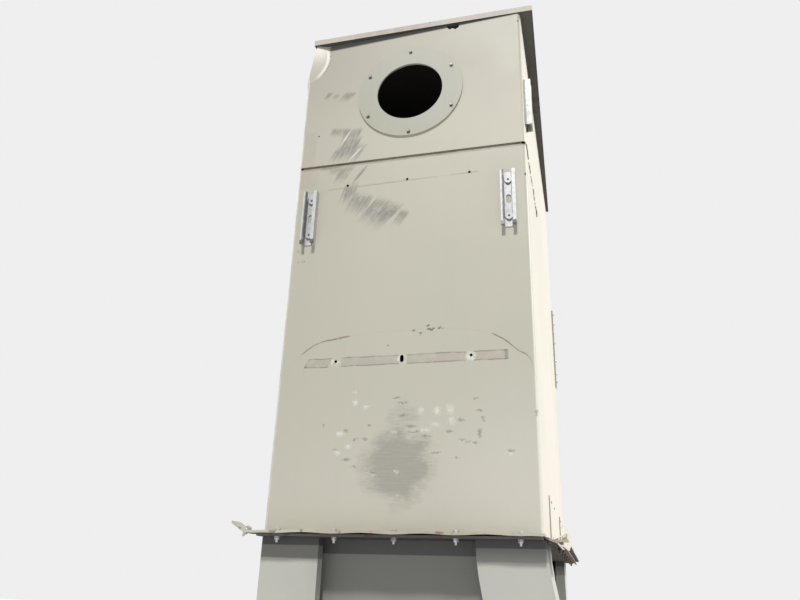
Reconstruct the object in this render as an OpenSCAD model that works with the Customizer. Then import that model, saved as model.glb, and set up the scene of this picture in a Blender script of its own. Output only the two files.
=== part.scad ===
// Cabinet separator: a tall sheet steel housing with a round bolted inlet near its top,
// a knocked roof cap, an outward base flange, four folded corner legs and a hopper.
// Origin: on the floor, at the centre of the housing's plan. +Z is up, -Y is the inlet side.

/* [Housing] */
// Width of the housing, across the inlet side
house_w = 690; // [600:10:800]
// Depth of the housing, front to back
house_d = 1250; // [1100:10:1400]
// Height of the walls above the base flange, at the right side
wall_h = 1548; // [1500:4:1650]
// Thickness of the wall sheets
sheet_t = 3; // [2:0.5:4]
// Outside radius of the folded corners
corner_r = 10; // [6:1:16]
// Height of the upper sheets, from the level joint to the top of the walls
upper_h = 480; // [460:4:500]
// Open width of that joint
seam_gap = 9; // [5:1:12]
// How far the front and back sheets wrap round on to the sides
wrap_d = 16; // [14:1:20]

/* [Inlet] */
// Inside diameter of the inlet ring
inlet_d = 206; // [180:2:220]
// Depth of the inlet's centre below the top of the walls
inlet_drop = 242; // [225:1:250]
// Outside diameter of the ring
ring_od = 330; // [322:2:345]
// Thickness of the ring
ring_t = 5; // [4:1:8]
// Diameter of the ring's bolt circle
ring_pcd = 301; // [290:1:305]
// Number of bolts round the ring
ring_bolts = 6; // [4:1:8]
// Diameter of the ring's bolt holes
ring_hole_d = 9; // [7:1:10]

/* [Roof] */
// Width of the roof cap
roof_w = 710; // [706:2:740]
// Depth of the roof cap
roof_d = 1268; // [1264:2:1300]
// Height of the cap's turned-down edge
roof_lip_h = 20; // [14:1:30]
// Thickness of the cap's sheet
roof_t = 2.5; // [2:0.5:4]
// How far the cap has been knocked to the right
roof_shift = 15; // [9:1:18]
// How far the cap has been turned, seen from above
roof_turn = 1.2; // [0:0.1:1.4]
// How far the cap drops towards the crushed left side
roof_drop = 1; // [0:0.1:1.2]

/* [Struts] */
// Width of the slotted channels
strut_w = 41.3; // [35:0.1:50]
// Depth of the channels
strut_d = 20.6; // [16:0.1:30]
// Length of the front channels
strut_len = 172; // [150:1:190]
// Length of the side channels
side_strut_len = 160; // [140:1:180]
// Thickness of the channels' steel
strut_t = 2.5; // [2:0.5:3]
// Distance of the front channels' centre lines from the housing's sides
strut_inset = 53; // [45:1:75]
// Depth of the front channels' lower ends below the level joint
strut_drop = 267; // [240:1:290]
// Depth of the side channels' lower ends below the top of the walls
side_strut_drop = 410; // [390:1:420]

/* [Bracket holes] */
// Distance of the outer bracket holes from the housing's centre line
mark_x = 183; // [150:1:200]
// Height of the lower row of bracket holes above the base flange
mark_low = 442; // [400:2:480]
// Depth of the upper row of bracket holes below the level joint
mark_drop = 78; // [60:1:100]
// Diameter of the bracket holes
mark_hole_d = 8; // [6:0.5:11]
// Width of the upright slot in the middle of the lower row
mark_slot_w = 10; // [8:0.5:12]
// Length of that slot
mark_slot_len = 20; // [14:1:24]

/* [Rear strip] */
// Width of the screwed strip on the right side's rear edge
strip_w = 26; // [20:1:34]
// Thickness of the strip
strip_t = 6; // [4:0.5:8]
// Length of the strip
strip_len = 345; // [300:5:380]
// Depth of the strip's lower end below the level joint
strip_drop = 388; // [385:1:400]

/* [Base flange] */
// How far the base flange stands out from the walls
flange_w = 50; // [40:1:60]
// Thickness of the base flange
flange_t = 6; // [4:0.5:8]
// Height of the waves knocked into the front flange
flange_wave = 3; // [0:0.5:5]
// Diameter of the flange bolt holes
flange_hole_d = 12; // [10:1:14]

/* [Stand] */
// Height of the stand, floor to the underside of the base flange
stand_h = 1600; // [1500:10:1700]
// Thickness of the flat rails under the base flange
rail_t = 6; // [5:1:10]
// How far the rails stand out from the walls
rail_out = 38; // [34:1:40]
// Width of each leg's two plates
leg_w = 150; // [130:1:170]
// Thickness of the leg plates
leg_t = 4; // [3:0.5:6]
// Depth of the folded return along each leg plate's free edge
leg_return = 32; // [20:1:40]
// How far the front right leg has buckled outwards
leg_buckle = 45; // [0:1:60]
// Side of the square foot plates
foot_w = 190; // [180:2:220]
// Thickness of the foot plates
foot_t = 10; // [8:1:16]
// Diameter of the anchor holes in the feet
anchor_d = 18; // [14:1:22]

/* [Hopper] */
// How far the hopper's skirt stands in from the housing's faces
hopper_inset = 55; // [50:1:70]
// Height of the hopper's straight skirt
skirt_h = 190; // [150:5:250]
// Height of the hopper's mouth plate above the floor
mouth_z = 800; // [760:5:860]
// Side of the square opening at the hopper's foot
mouth_w = 264; // [262:1:290]
// Inside diameter of the outlet
outlet_d = 204; // [180:2:210]
// Length of the outlet's short pipe, with its flange
outlet_len = 90; // [60:5:120]
// Outside diameter of the outlet's flange
outlet_flange_d = 290; // [280:2:310]
// Bolt circle of the outlet's flange
outlet_pcd = 254; // [246:1:262]

/* [Side plates] */
// Height of the riveted plates at the foot of the sides
lap_h = 122; // [90:1:150]
// Length of each plate
lap_len = 402; // [300:1:410]
// Thickness of each plate
lap_t = 3; // [2:0.5:5]
// Distance of the front plate from the housing's front
lap_start = 280; // [200:5:300]
// Distance between the starts of the front and rear plates
lap_pitch = 582; // [550:2:590]

/* [Hidden] */

$fn = 64;

// Small overlap that makes cuts go right through
cut = 1;
// Running clearance between pieces that fit inside one another
fit = 0.3;
// Length of the blocks that trim a form along a plane
block = 4000;

half_w = house_w / 2;
half_d = house_d / 2;
wall_top = stand_h + wall_h;
seam_level = wall_top - upper_h;
inlet_level = wall_top - inlet_drop;
front_y = -half_d;

// Crushed corner at the top left of the front: a flat knock from the left takes the corner off,
// and the squeezed front sheet swells out beside it as the cap of a ball
crush_foot = wall_top - 148;
crush_slope = 7.8;
crush_turn = 65;
swell_rim_r = 108;
swell_behind = 277;
swell_aside = 37;
swell_level = wall_top - 58;
swell_r = sqrt(swell_rim_r * swell_rim_r + swell_behind * swell_behind);

// Torn notch in the top edge of the upper front sheet
notch_x = 116;
notch_w = 38;
notch_h = 24;

// Levels of the two rows of bracket holes
mark_levels = [stand_h + mark_low, seam_level - mark_drop];

// Ring of bare panel between the inlet's bore and the hole behind it
panel_hole_margin = 1;
panel_hole_d = inlet_d + 2 * panel_hole_margin;

strut_lip = 9.5;
strut_turn = 5;
strut_slot_w = 14;
strut_slot_len = 28;
strut_slots = 3;
side_strut_y = 12;
left_strut_y = 75;

leg_top = stand_h - rail_t;
leg_h = leg_top - foot_t;
buckle_len = 640;
buckle_steps = 16;
buckle_base = 6;
buckle_spread = 12;

// How far the foot plates stand out beyond the legs
foot_margin = 12;

// How far the rails reach in past the hopper's skirt
rail_margin = 3;
rail_in = hopper_inset + sheet_t + rail_margin;
hopper_w = house_w - 2 * hopper_inset;
hopper_d = house_d - 2 * hopper_inset;
slope_top = leg_top - skirt_h;
mouth_t = 6;
mouth_margin = 12;
outlet_t = 4;
outlet_pipe_d = outlet_d + 2 * outlet_t;
outlet_hole_d = 11;
outlet_bolts = 8;

// Bolt rows of the base flange and of the rails beneath it
bolt_line = 24;
bolt_pitch_x = 147.75;
bolt_pitch_y = 147;
drill = 4 * (flange_t + rail_t);
bolts_x = [for (k = [-2:2]) k * bolt_pitch_x];
bolts_y = [for (k = [-2.5:1:3.5]) k * bolt_pitch_y];

// Bent left tip of the front flange: where it bends up, how far it reaches and how far it rises
tip_bend = 28;
tip_reach = 64;
tip_rise = 22;

// Length of side flange and rail that is missing behind each front corner
corner_gap = 125;

// Torn corner piece: its length along the side, its free length in front, and the places
// and depths of its two bends and of its ragged end
flap_len = 118;
flap_ahead = 6;
flap_x = [30, 52, 66];
flap_z = [12, 34, 52];
flap_t = 4;

// Colours as the painted and galvanised steel shows them
paint = [0.80, 0.78, 0.70];
side_paint = [0.86, 0.84, 0.76];
leg_paint = [0.70, 0.71, 0.66];
zinc = [0.72, 0.74, 0.76];
dark = [0.30, 0.28, 0.26];

// Plan outline with four round corners
module plan(w, d, r) {
    square([w - 2 * r, d], center = true);
    square([w, d - 2 * r], center = true);
    for (sx = [-1, 1], sy = [-1, 1])
        translate([sx * (w / 2 - r), sy * (d / 2 - r)])
            circle(r);
}

// Everything above the dropped plane on which the roof cap lies
module above_walls() {
    translate([half_w, 0, wall_top])
        rotate([0, -roof_drop, 0])
            translate([-block / 2, -block / 2, 0])
                cube([block, block, block / 2]);
}

// The knock that took the corner off, moved in by g for the inner face of the sheet
module crush(g) {
    translate([-half_w, front_y, crush_foot])
        rotate([90 - crush_slope, 0, -crush_turn])
            translate([-block / 2, -block / 2, -g])
                cube([block, block, block / 2]);
}

// The swelling of the front sheet beside the crushed corner, shrunk by g for its inner face
module swell(g) {
    intersection() {
        translate([-half_w - swell_aside, front_y + swell_behind, swell_level])
            sphere(swell_r - g, $fn = 256);
        translate([-half_w + g, front_y - swell_rim_r, seam_level + seam_gap])
            cube([swell_rim_r, swell_rim_r + corner_r + g, wall_top]);
    }
}

// The four walls as one folded skin
module skin() {
    difference() {
        union() {
            translate([0, 0, stand_h])
                linear_extrude(wall_h + cut)
                    plan(house_w, house_d, corner_r);
            swell(0);
        }
        crush(0);
        difference() {
            union() {
                translate([0, 0, stand_h - cut])
                    linear_extrude(wall_h + 3 * cut)
                        plan(house_w - 2 * sheet_t, house_d - 2 * sheet_t, corner_r - sheet_t);
                swell(sheet_t);
            }
            crush(sheet_t);
        }
        above_walls();
    }
}

// Part of the skin between two levels, on the front (s = -1) or the back (s = 1)
module end_sheet(s, low, high) {
    intersection() {
        skin();
        translate([-half_w - cut, s > 0 ? half_d - wrap_d : front_y - swell_rim_r, low])
            cube([house_w + 2 * cut, s > 0 ? wrap_d + cut : wrap_d + swell_rim_r, high - low]);
    }
}

// Part of the skin on the left (s = -1) or the right (s = 1)
module side_sheet(s) {
    intersection() {
        skin();
        translate([s > 0 ? 0 : -half_w - cut, front_y + wrap_d, stand_h - cut])
            cube([half_w + cut, house_d - 2 * wrap_d, wall_h + 2 * cut]);
    }
}

// Straight hole through a front or back sheet
module y_hole(x, z, d) {
    translate([x, 0, z])
        rotate([90, 0, 0])
            cylinder(h = block, d = d, center = true);
}

// Upright round-ended slot on the centre line
module upright_slot(z, w, len) {
    straight = len - w;
    for (s = [-1, 1])
        y_hole(0, z + s * straight / 2, w);
    translate([-w / 2, -block / 2, z - straight / 2])
        cube([w, block, straight]);
}

module front_lower_panel() {
    color(paint)
    difference() {
        end_sheet(-1, stand_h, seam_level - seam_gap / 2);
        intersection() {
            translate([-half_w, front_y - cut, stand_h])
                cube([house_w, sheet_t + 2 * cut, wall_h]);
            union() {
                for (z = mark_levels, x = [-mark_x, mark_x])
                    y_hole(x, z, mark_hole_d);
                y_hole(0, mark_levels[1], mark_hole_d);
                upright_slot(mark_levels[0], mark_slot_w, mark_slot_len);
            }
        }
    }
}

module front_upper_panel() {
    color(paint)
    difference() {
        end_sheet(-1, seam_level + seam_gap / 2, wall_top + cut);
        intersection() {
            translate([-half_w, front_y - cut, stand_h])
                cube([house_w, sheet_t + 2 * cut, wall_h + 2 * cut]);
            union() {
                y_hole(0, inlet_level, panel_hole_d);
                ring_holes();
                torn_notch();
            }
        }
    }
}

// Bolt holes of the inlet ring
module ring_holes() {
    for (k = [0:ring_bolts - 1])
        y_hole(sin(k * 360 / ring_bolts) * ring_pcd / 2,
            inlet_level + cos(k * 360 / ring_bolts) * ring_pcd / 2, ring_hole_d);
}

// Ragged bite out of the top edge
module torn_notch() {
    translate([notch_x, 0, wall_top])
        rotate([90, 0, 0])
            linear_extrude(block, center = true)
                polygon([[0, cut], [notch_w, cut], [notch_w, -notch_h * 0.7], [notch_w * 0.7, -notch_h],
                    [notch_w * 0.45, -notch_h * 0.75], [notch_w * 0.2, -notch_h * 0.9], [0, -notch_h * 0.5]]);
}

module left_side_panel() {
    color(side_paint) side_sheet(-1);
}

module right_side_panel() {
    color(side_paint) side_sheet(1);
}

module back_lower_panel() {
    color(paint) end_sheet(1, stand_h, seam_level - seam_gap / 2);
}

module back_upper_panel() {
    color(paint) end_sheet(1, seam_level + seam_gap / 2, wall_top + cut);
}

// Places a form in the frame of the knocked roof cap, whose underside is z = 0
module on_roof() {
    translate([half_w, 0, wall_top])
        rotate([0, -roof_drop, 0])
            translate([roof_shift - half_w, 0, 0])
                rotate([0, 0, roof_turn])
                    children();
}

module roof_cap() {
    color(paint)
    on_roof()
        difference() {
            translate([-roof_w / 2, -roof_d / 2, 0])
                cube([roof_w, roof_d, roof_lip_h]);
            translate([-roof_w / 2 + roof_t, -roof_d / 2 + roof_t, -cut])
                cube([roof_w - 2 * roof_t, roof_d - 2 * roof_t, roof_lip_h - roof_t + cut]);
        }
}

// Flat sheet that closes the cap from below and lies on the walls
module roof_soffit() {
    color(dark)
    on_roof()
        translate([-roof_w / 2 + roof_t + fit, -roof_d / 2 + roof_t + fit, 0])
            cube([roof_w - 2 * (roof_t + fit), roof_d - 2 * (roof_t + fit), roof_t]);
}

module inlet_ring() {
    color(paint)
    difference() {
        translate([0, front_y, inlet_level])
            rotate([90, 0, 0])
                cylinder(h = ring_t, d = ring_od, $fn = 128);
        intersection() {
            translate([-half_w, front_y - ring_t - cut, stand_h])
                cube([house_w, ring_t + 2 * cut, wall_h]);
            union() {
                y_hole(0, inlet_level, inlet_d);
                ring_holes();
            }
        }
    }
}

// Section of a slotted channel: back at y = 0, open side at y = -strut_d
module strut_section() {
    difference() {
        translate([-strut_w / 2, -strut_d])
            square([strut_w, strut_d]);
        translate([-strut_w / 2 + strut_t, -strut_d + strut_t])
            square([strut_w - 2 * strut_t, strut_d - 2 * strut_t]);
        translate([-strut_w / 2 + strut_lip, -strut_d - cut])
            square([strut_w - 2 * strut_lip, strut_t + 2 * cut]);
    }
    for (s = [-1, 1])
        translate([s * (strut_w / 2 - strut_lip + strut_t / 2) - strut_t / 2, -strut_d])
            square([strut_t, strut_t + strut_turn]);
}

// Slotted channel of a length, standing on z = 0 with its back on the plane y = 0
module strut(len) {
    slot_step = len / strut_slots;
    difference() {
        linear_extrude(len)
            strut_section();
        for (k = [0:strut_slots - 1], s = [-1, 1])
            translate([0, cut, (k + 0.5) * slot_step + s * (strut_slot_len - strut_slot_w) / 2])
                rotate([90, 0, 0])
                    cylinder(h = strut_t + 2 * cut, d = strut_slot_w);
        for (k = [0:strut_slots - 1])
            translate([-strut_slot_w / 2, -strut_t - cut,
                (k + 0.5) * slot_step - (strut_slot_len - strut_slot_w) / 2])
                cube([strut_slot_w, strut_t + 2 * cut, strut_slot_len - strut_slot_w]);
    }
}

module front_strut_left() {
    color(zinc) translate([strut_inset - half_w, front_y, seam_level - strut_drop]) strut(strut_len);
}

module front_strut_right() {
    color(zinc) translate([half_w - strut_inset, front_y, seam_level - strut_drop]) strut(strut_len);
}

module side_strut_left() {
    color(zinc)
    translate([-half_w, front_y + left_strut_y + strut_w / 2, wall_top - side_strut_drop])
        rotate([0, 0, -90])
            strut(side_strut_len);
}

module side_strut_right() {
    color(zinc)
    translate([half_w, front_y + side_strut_y + strut_w / 2, wall_top - side_strut_drop])
        rotate([0, 0, 90])
            strut(side_strut_len);
}

// Two riveted plates low on one side
module lap_plates(s) {
    for (k = [0:1])
        translate([s > 0 ? half_w : -half_w - lap_t, front_y + lap_start + k * lap_pitch,
            stand_h + flange_t])
            cube([lap_t, lap_len, lap_h]);
}

module left_lap_plates() {
    color(side_paint) lap_plates(-1);
}

module right_lap_plates() {
    color(side_paint) lap_plates(1);
}

// Short hinge-like strip on the right side's rear edge
module rear_edge_strip() {
    color(side_paint)
    translate([half_w, half_d - corner_r - strip_w, seam_level - strip_drop])
        cube([strip_t, strip_w, strip_len]);
}

// Height of the knocked front flange's underside at a place x along it: none at its bolts
function wave(x) = abs(x) < half_w ? flange_wave * (1 - cos(360 * x / bolt_pitch_x)) / 2 : 0;

// Front flange with its waves and its bent left end, drawn as one strip
module front_flange() {
    steps = 28;
    xs = [for (k = [0:steps]) -half_w + k * house_w / steps];
    tip = [[-half_w - tip_reach, tip_rise], [-half_w - tip_bend, 0]];
    low = concat(tip, [for (x = xs) [x, wave(x)]], [[half_w + flap_ahead, 0]]);
    high = [for (k = [len(low) - 1:-1:0]) low[k] + [0, flange_t]];
    color(paint)
    difference() {
        translate([0, front_y, stand_h])
            rotate([90, 0, 0])
                linear_extrude(flange_w)
                    polygon(concat(low, high));
        for (x = bolts_x)
            translate([x, front_y - bolt_line, stand_h])
                cylinder(h = drill, d = flange_hole_d, center = true);
    }
}

module back_flange() {
    color(paint)
    difference() {
        translate([-half_w - flange_w, half_d, stand_h])
            cube([house_w + 2 * flange_w, flange_w, flange_t]);
        for (x = bolts_x)
            translate([x, half_d + bolt_line, stand_h])
                cylinder(h = drill, d = flange_hole_d, center = true);
    }
}

// Flange along one side, with its front end missing
module side_flange(s) {
    difference() {
        translate([s > 0 ? half_w : -half_w - flange_w, front_y + corner_gap, stand_h])
            cube([flange_w, house_d - corner_gap, flange_t]);
        for (y = bolts_y)
            translate([s * (half_w + bolt_line), y, stand_h])
                cylinder(h = drill, d = flange_hole_d, center = true);
    }
}

module left_flange() {
    color(paint) side_flange(-1);
}

module right_flange() {
    color(paint) side_flange(1);
}

// Torn piece that hangs from the front right corner, bent down twice and ragged at its end
module torn_corner_flap() {
    upper = [[0, flange_t], [flap_x[0], flap_t - flap_z[0]], [flap_x[1], flap_t - flap_z[1]],
        [flap_x[2], flap_t / 2 - flap_z[2]]];
    lower = [[flap_x[2] - flap_t / 2, -flap_z[2]], [flap_x[1] - flap_t, -flap_z[1]],
        [flap_x[0], -flap_z[0]], [0, 0]];
    color(paint)
    difference() {
        translate([half_w, front_y + flap_len, stand_h])
            rotate([90, 0, 0])
                linear_extrude(flap_len)
                    polygon(concat(upper, lower));
        translate([half_w, front_y, stand_h])
            linear_extrude(drill, center = true)
                polygon([[flap_x[0], -cut], [flap_x[2] + cut, -cut], [flap_x[2] + cut, flap_len * 0.7],
                    [flap_x[1], flap_len * 0.55], [flap_x[1] - cut, flap_len * 0.3]]);
    }
}

// Flat rail along the front (s = -1) or the back (s = 1) of the stand, with its ends standing
// out by over
module cross_rail(s, over) {
    difference() {
        translate([-half_w - over, s > 0 ? half_d - rail_in : front_y - rail_out, stand_h - rail_t])
            cube([house_w + 2 * over, rail_out + rail_in, rail_t]);
        for (x = bolts_x)
            translate([x, s * (half_d + bolt_line), stand_h])
                cylinder(h = drill, d = flange_hole_d, center = true);
    }
}

// Flat rail along one side of the stand, narrower where the flange above it is missing
module side_rail(s) {
    difference() {
        translate([s > 0 ? half_w - rail_in : -half_w - rail_out, front_y + rail_in,
            stand_h - rail_t])
            cube([rail_out + rail_in, house_d - 2 * rail_in, rail_t]);
        translate([s > 0 ? half_w : -half_w - block, front_y, stand_h - rail_t - cut])
            cube([block, corner_gap, rail_t + 2 * cut]);
        for (y = bolts_y)
            translate([s * (half_w + bolt_line), y, stand_h])
                cylinder(h = drill, d = flange_hole_d, center = true);
    }
}

module front_rail() {
    color(leg_paint) cross_rail(-1, 0);
}

module back_rail() {
    color(leg_paint) cross_rail(1, rail_out);
}

module left_rail() {
    color(leg_paint) side_rail(-1);
}

module right_rail() {
    color(leg_paint) side_rail(1);
}

// Corner leg folded from plate, with its outer corner on the z axis and its plates
// running towards +X and +Y
module leg() {
    linear_extrude(leg_h)
        leg_section();
}

// Section of a leg: two plates and the returns along their free edges
module leg_section() {
    difference() {
        square([leg_w, leg_w]);
        translate([leg_t, leg_t])
            square([leg_w, leg_w]);
    }
    translate([leg_w - leg_t, 0])
        square([leg_t, leg_return]);
    translate([0, leg_w - leg_t])
        square([leg_return, leg_t]);
}

// Outward offset of the buckled leg at a depth below its top
function buckle(d) = buckle_base + (d < buckle_len ? leg_buckle * pow(sin(180 * d / buckle_len), 2) : 0);

// Strip of the buckled leg's elevation between two offsets from its outer face
module buckled_strip(from, to, deep) {
    depths = concat([for (k = [0:buckle_steps]) k * buckle_len / buckle_steps], [leg_h]);
    outer = [for (d = depths) [buckle(d) - from, leg_h - d]];
    inner = [for (k = [len(depths) - 1:-1:0]) [buckle(depths[k]) - to, leg_h - depths[k]]];
    translate([0, deep, 0])
        rotate([90, 0, 0])
            linear_extrude(deep)
                polygon(concat(outer, inner));
}

module front_left_leg() {
    color(leg_paint) translate([-half_w, front_y, foot_t]) leg();
}

module back_left_leg() {
    color(leg_paint) translate([-half_w, half_d, foot_t]) mirror([0, 1, 0]) leg();
}

module back_right_leg() {
    color(leg_paint) translate([half_w, half_d, foot_t]) mirror([1, 0, 0]) mirror([0, 1, 0]) leg();
}

// The leg that has buckled outwards below the torn corner
module front_right_leg() {
    buckled_w = leg_w + buckle_spread;
    color(leg_paint)
    translate([half_w, front_y, foot_t]) {
        buckled_strip(0, buckled_w, leg_t);
        buckled_strip(0, leg_t, leg_w);
        buckled_strip(buckled_w - leg_t, buckled_w, leg_return);
        translate([0, leg_w - leg_t, 0])
            buckled_strip(0, leg_return, leg_t);
    }
}

// Foot plate under the leg at corner (sx, sy)
module foot(sx, sy) {
    margin = foot_w / 2 - foot_margin;
    difference() {
        translate([sx * (half_w - margin) - foot_w / 2, sy * (half_d - margin) - foot_w / 2, 0])
            cube([foot_w, foot_w, foot_t]);
        translate([sx * (half_w - leg_w / 2), sy * (half_d - leg_w / 2), -cut])
            cylinder(h = foot_t + 2 * cut, d = anchor_d);
    }
}

module front_left_foot() {
    color(leg_paint) foot(-1, -1);
}

module front_right_foot() {
    color(leg_paint) foot(1, -1);
}

module back_left_foot() {
    color(leg_paint) foot(-1, 1);
}

module back_right_foot() {
    color(leg_paint) foot(1, 1);
}

// Space between two opposite sloping planes of the hopper, moved inwards by g
module slope_trim(size, g, turn) {
    run = (size - mouth_w) / 2;
    rise = slope_top - mouth_z;
    lean = atan(run / rise);
    rotate([0, 0, turn])
        intersection_for (s = [0, 180])
            rotate([0, 0, s])
                translate([mouth_w / 2, 0, mouth_z])
                    rotate([0, lean, 0])
                        translate([-block - g, -block / 2, -block / 2])
                            cube([block, block, block]);
}

// The sloping hopper as a solid between its skirt and its mouth
module slope_form() {
    intersection() {
        translate([-hopper_w / 2, -hopper_d / 2, mouth_z])
            cube([hopper_w, hopper_d, slope_top - mouth_z]);
        slope_trim(hopper_w, 0, 0);
        slope_trim(hopper_d, 0, 90);
    }
}

// Sloping sheet on the front (s = -1) or the back (s = 1), full width
module slope_end(s) {
    difference() {
        slope_form();
        slope_trim(hopper_d, sheet_t, 90);
        translate([-block / 2, s > 0 ? -block : 0, 0])
            cube([block, block, block]);
    }
}

// Sloping sheet on one side, held between the front and back ones
module slope_side(s) {
    difference() {
        intersection() {
            slope_form();
            slope_trim(hopper_d, sheet_t, 90);
        }
        slope_trim(hopper_w, sheet_t, 0);
        translate([s > 0 ? -block : 0, -block / 2, 0])
            cube([block, block, block]);
    }
}

// Upright skirt sheet on the front (s = -1) or the back (s = 1), full width
module skirt_end(s) {
    translate([-hopper_w / 2, s > 0 ? hopper_d / 2 - sheet_t : -hopper_d / 2, slope_top])
        cube([hopper_w, sheet_t, skirt_h]);
}

// Upright skirt sheet on one side, held between the front and back ones
module skirt_side(s) {
    translate([s > 0 ? hopper_w / 2 - sheet_t : -hopper_w / 2, -hopper_d / 2 + sheet_t, slope_top])
        cube([sheet_t, hopper_d - 2 * sheet_t, skirt_h]);
}

module hopper_skirt_front() {
    color(leg_paint) skirt_end(-1);
}

module hopper_skirt_back() {
    color(leg_paint) skirt_end(1);
}

module hopper_skirt_left() {
    color(leg_paint) skirt_side(-1);
}

module hopper_skirt_right() {
    color(leg_paint) skirt_side(1);
}

module hopper_slope_front() {
    color(leg_paint) slope_end(-1);
}

module hopper_slope_back() {
    color(leg_paint) slope_end(1);
}

module hopper_slope_left() {
    color(leg_paint) slope_side(-1);
}

module hopper_slope_right() {
    color(leg_paint) slope_side(1);
}

// Upright cylinder of diameter d through the whole outlet, and past its ends by more
module outlet_core(d, more) {
    translate([0, 0, mouth_z - outlet_len - more])
        cylinder(h = outlet_len + 2 * more, d = d, $fn = 96);
}

// Square plate that closes the hopper's foot round the outlet
module hopper_mouth_plate() {
    plate_w = mouth_w + 2 * mouth_margin;
    color(leg_paint)
    difference() {
        translate([-plate_w / 2, -plate_w / 2, mouth_z - mouth_t])
            cube([plate_w, plate_w, mouth_t]);
        outlet_core(outlet_pipe_d, cut);
    }
}

// Short round pipe that passes through the mouth plate and the flange
module hopper_outlet_pipe() {
    color(leg_paint)
    difference() {
        outlet_core(outlet_pipe_d, 0);
        outlet_core(outlet_d, cut);
    }
}

// Bolted flange at the pipe's foot
module hopper_outlet_flange() {
    color(leg_paint)
    difference() {
        translate([0, 0, mouth_z - outlet_len])
            cylinder(h = mouth_t, d = outlet_flange_d, $fn = 96);
        outlet_core(outlet_pipe_d, cut);
        for (k = [0:outlet_bolts - 1])
            rotate([0, 0, (k + 0.5) * 360 / outlet_bolts])
                translate([outlet_pcd / 2, 0, mouth_z - outlet_len - cut])
                    cylinder(h = mouth_t + 2 * cut, d = outlet_hole_d);
    }
}

front_lower_panel();
front_upper_panel();
left_side_panel();
right_side_panel();
back_lower_panel();
back_upper_panel();
roof_cap();
roof_soffit();
inlet_ring();
front_strut_left();
front_strut_right();
side_strut_left();
side_strut_right();
left_lap_plates();
right_lap_plates();
rear_edge_strip();
front_flange();
back_flange();
left_flange();
right_flange();
torn_corner_flap();
front_rail();
back_rail();
left_rail();
right_rail();
front_left_leg();
front_right_leg();
back_left_leg();
back_right_leg();
front_left_foot();
front_right_foot();
back_left_foot();
back_right_foot();
hopper_skirt_front();
hopper_slope_front();
hopper_skirt_back();
hopper_slope_back();
hopper_skirt_left();
hopper_slope_left();
hopper_skirt_right();
hopper_slope_right();
hopper_mouth_plate();
hopper_outlet_pipe();
hopper_outlet_flange();
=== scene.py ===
import logging
import math
import random
from dataclasses import dataclass
from enum import Enum
from typing import ClassVar, Iterable, Sequence

import bmesh
import bpy
from mathutils import Matrix, Vector


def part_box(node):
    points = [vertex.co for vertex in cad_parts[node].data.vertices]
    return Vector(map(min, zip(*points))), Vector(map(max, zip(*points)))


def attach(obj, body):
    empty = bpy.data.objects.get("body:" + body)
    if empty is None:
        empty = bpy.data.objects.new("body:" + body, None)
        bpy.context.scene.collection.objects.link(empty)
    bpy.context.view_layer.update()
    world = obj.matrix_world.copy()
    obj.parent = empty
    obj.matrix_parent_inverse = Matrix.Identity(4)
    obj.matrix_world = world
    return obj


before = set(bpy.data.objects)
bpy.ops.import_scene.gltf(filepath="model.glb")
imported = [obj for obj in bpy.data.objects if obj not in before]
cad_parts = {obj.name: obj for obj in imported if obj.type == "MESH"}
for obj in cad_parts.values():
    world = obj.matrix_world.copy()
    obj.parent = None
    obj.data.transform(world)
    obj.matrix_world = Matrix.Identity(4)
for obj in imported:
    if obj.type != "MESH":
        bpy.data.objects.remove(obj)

LOG = logging.getLogger("cabinet_separator")

Colour = tuple[float, float, float]
Point = tuple[float, float, float]
Plane = tuple[float, float]
Spot = tuple[float, float, float, float]

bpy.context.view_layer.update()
BODY = "root"
MM = 0.001
MM_PER_M = 1000.0
FORWARD = Vector((0, -1, 0))

# Centre and radius of the swelling beside the crushed corner, on the front in millimetres.
SWELLING: Plane = (-37.0, 1490.0)
SWELLING_RADIUS = 107.0


class Sizes:
    """Dimensions of the cabinet in metres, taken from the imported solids."""

    left_x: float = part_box("left_flange")[1].x
    right_x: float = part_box("right_flange")[0].x
    front_y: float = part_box("front_flange")[1].y
    back_y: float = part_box("back_flange")[0].y
    base_z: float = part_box("right_flange")[0].z


class Side(Enum):
    """Sides of the cabinet, with the direction of each along X."""

    LEFT = -1
    RIGHT = 1


def front_point(across: float, up: float, out: float = 0.0) -> Vector:
    """Turns a place on the front, in millimetres, into the frame's metres.

    Args:
        across: Distance from the cabinet's left edge.
        up: Height above the base flange's underside.
        out: Distance in front of the front sheets.

    Returns:
        The point in the frame.
    """
    return Vector((Sizes.left_x + across * MM, Sizes.front_y - out * MM, Sizes.base_z + up * MM))


def side_point(deep: float, up: float, out: float = 0.0, side: Side = Side.RIGHT) -> Vector:
    """Turns a place on a side, in millimetres, into the frame's metres.

    Args:
        deep: Distance behind the front sheets.
        up: Height above the base flange's underside.
        out: Distance outside the side sheet.
        side: Side of the cabinet.

    Returns:
        The point in the frame.
    """
    edge = Sizes.right_x if side is Side.RIGHT else Sizes.left_x
    return Vector((edge + side.value * out * MM, Sizes.front_y + deep * MM,
                   Sizes.base_z + up * MM))


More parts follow.
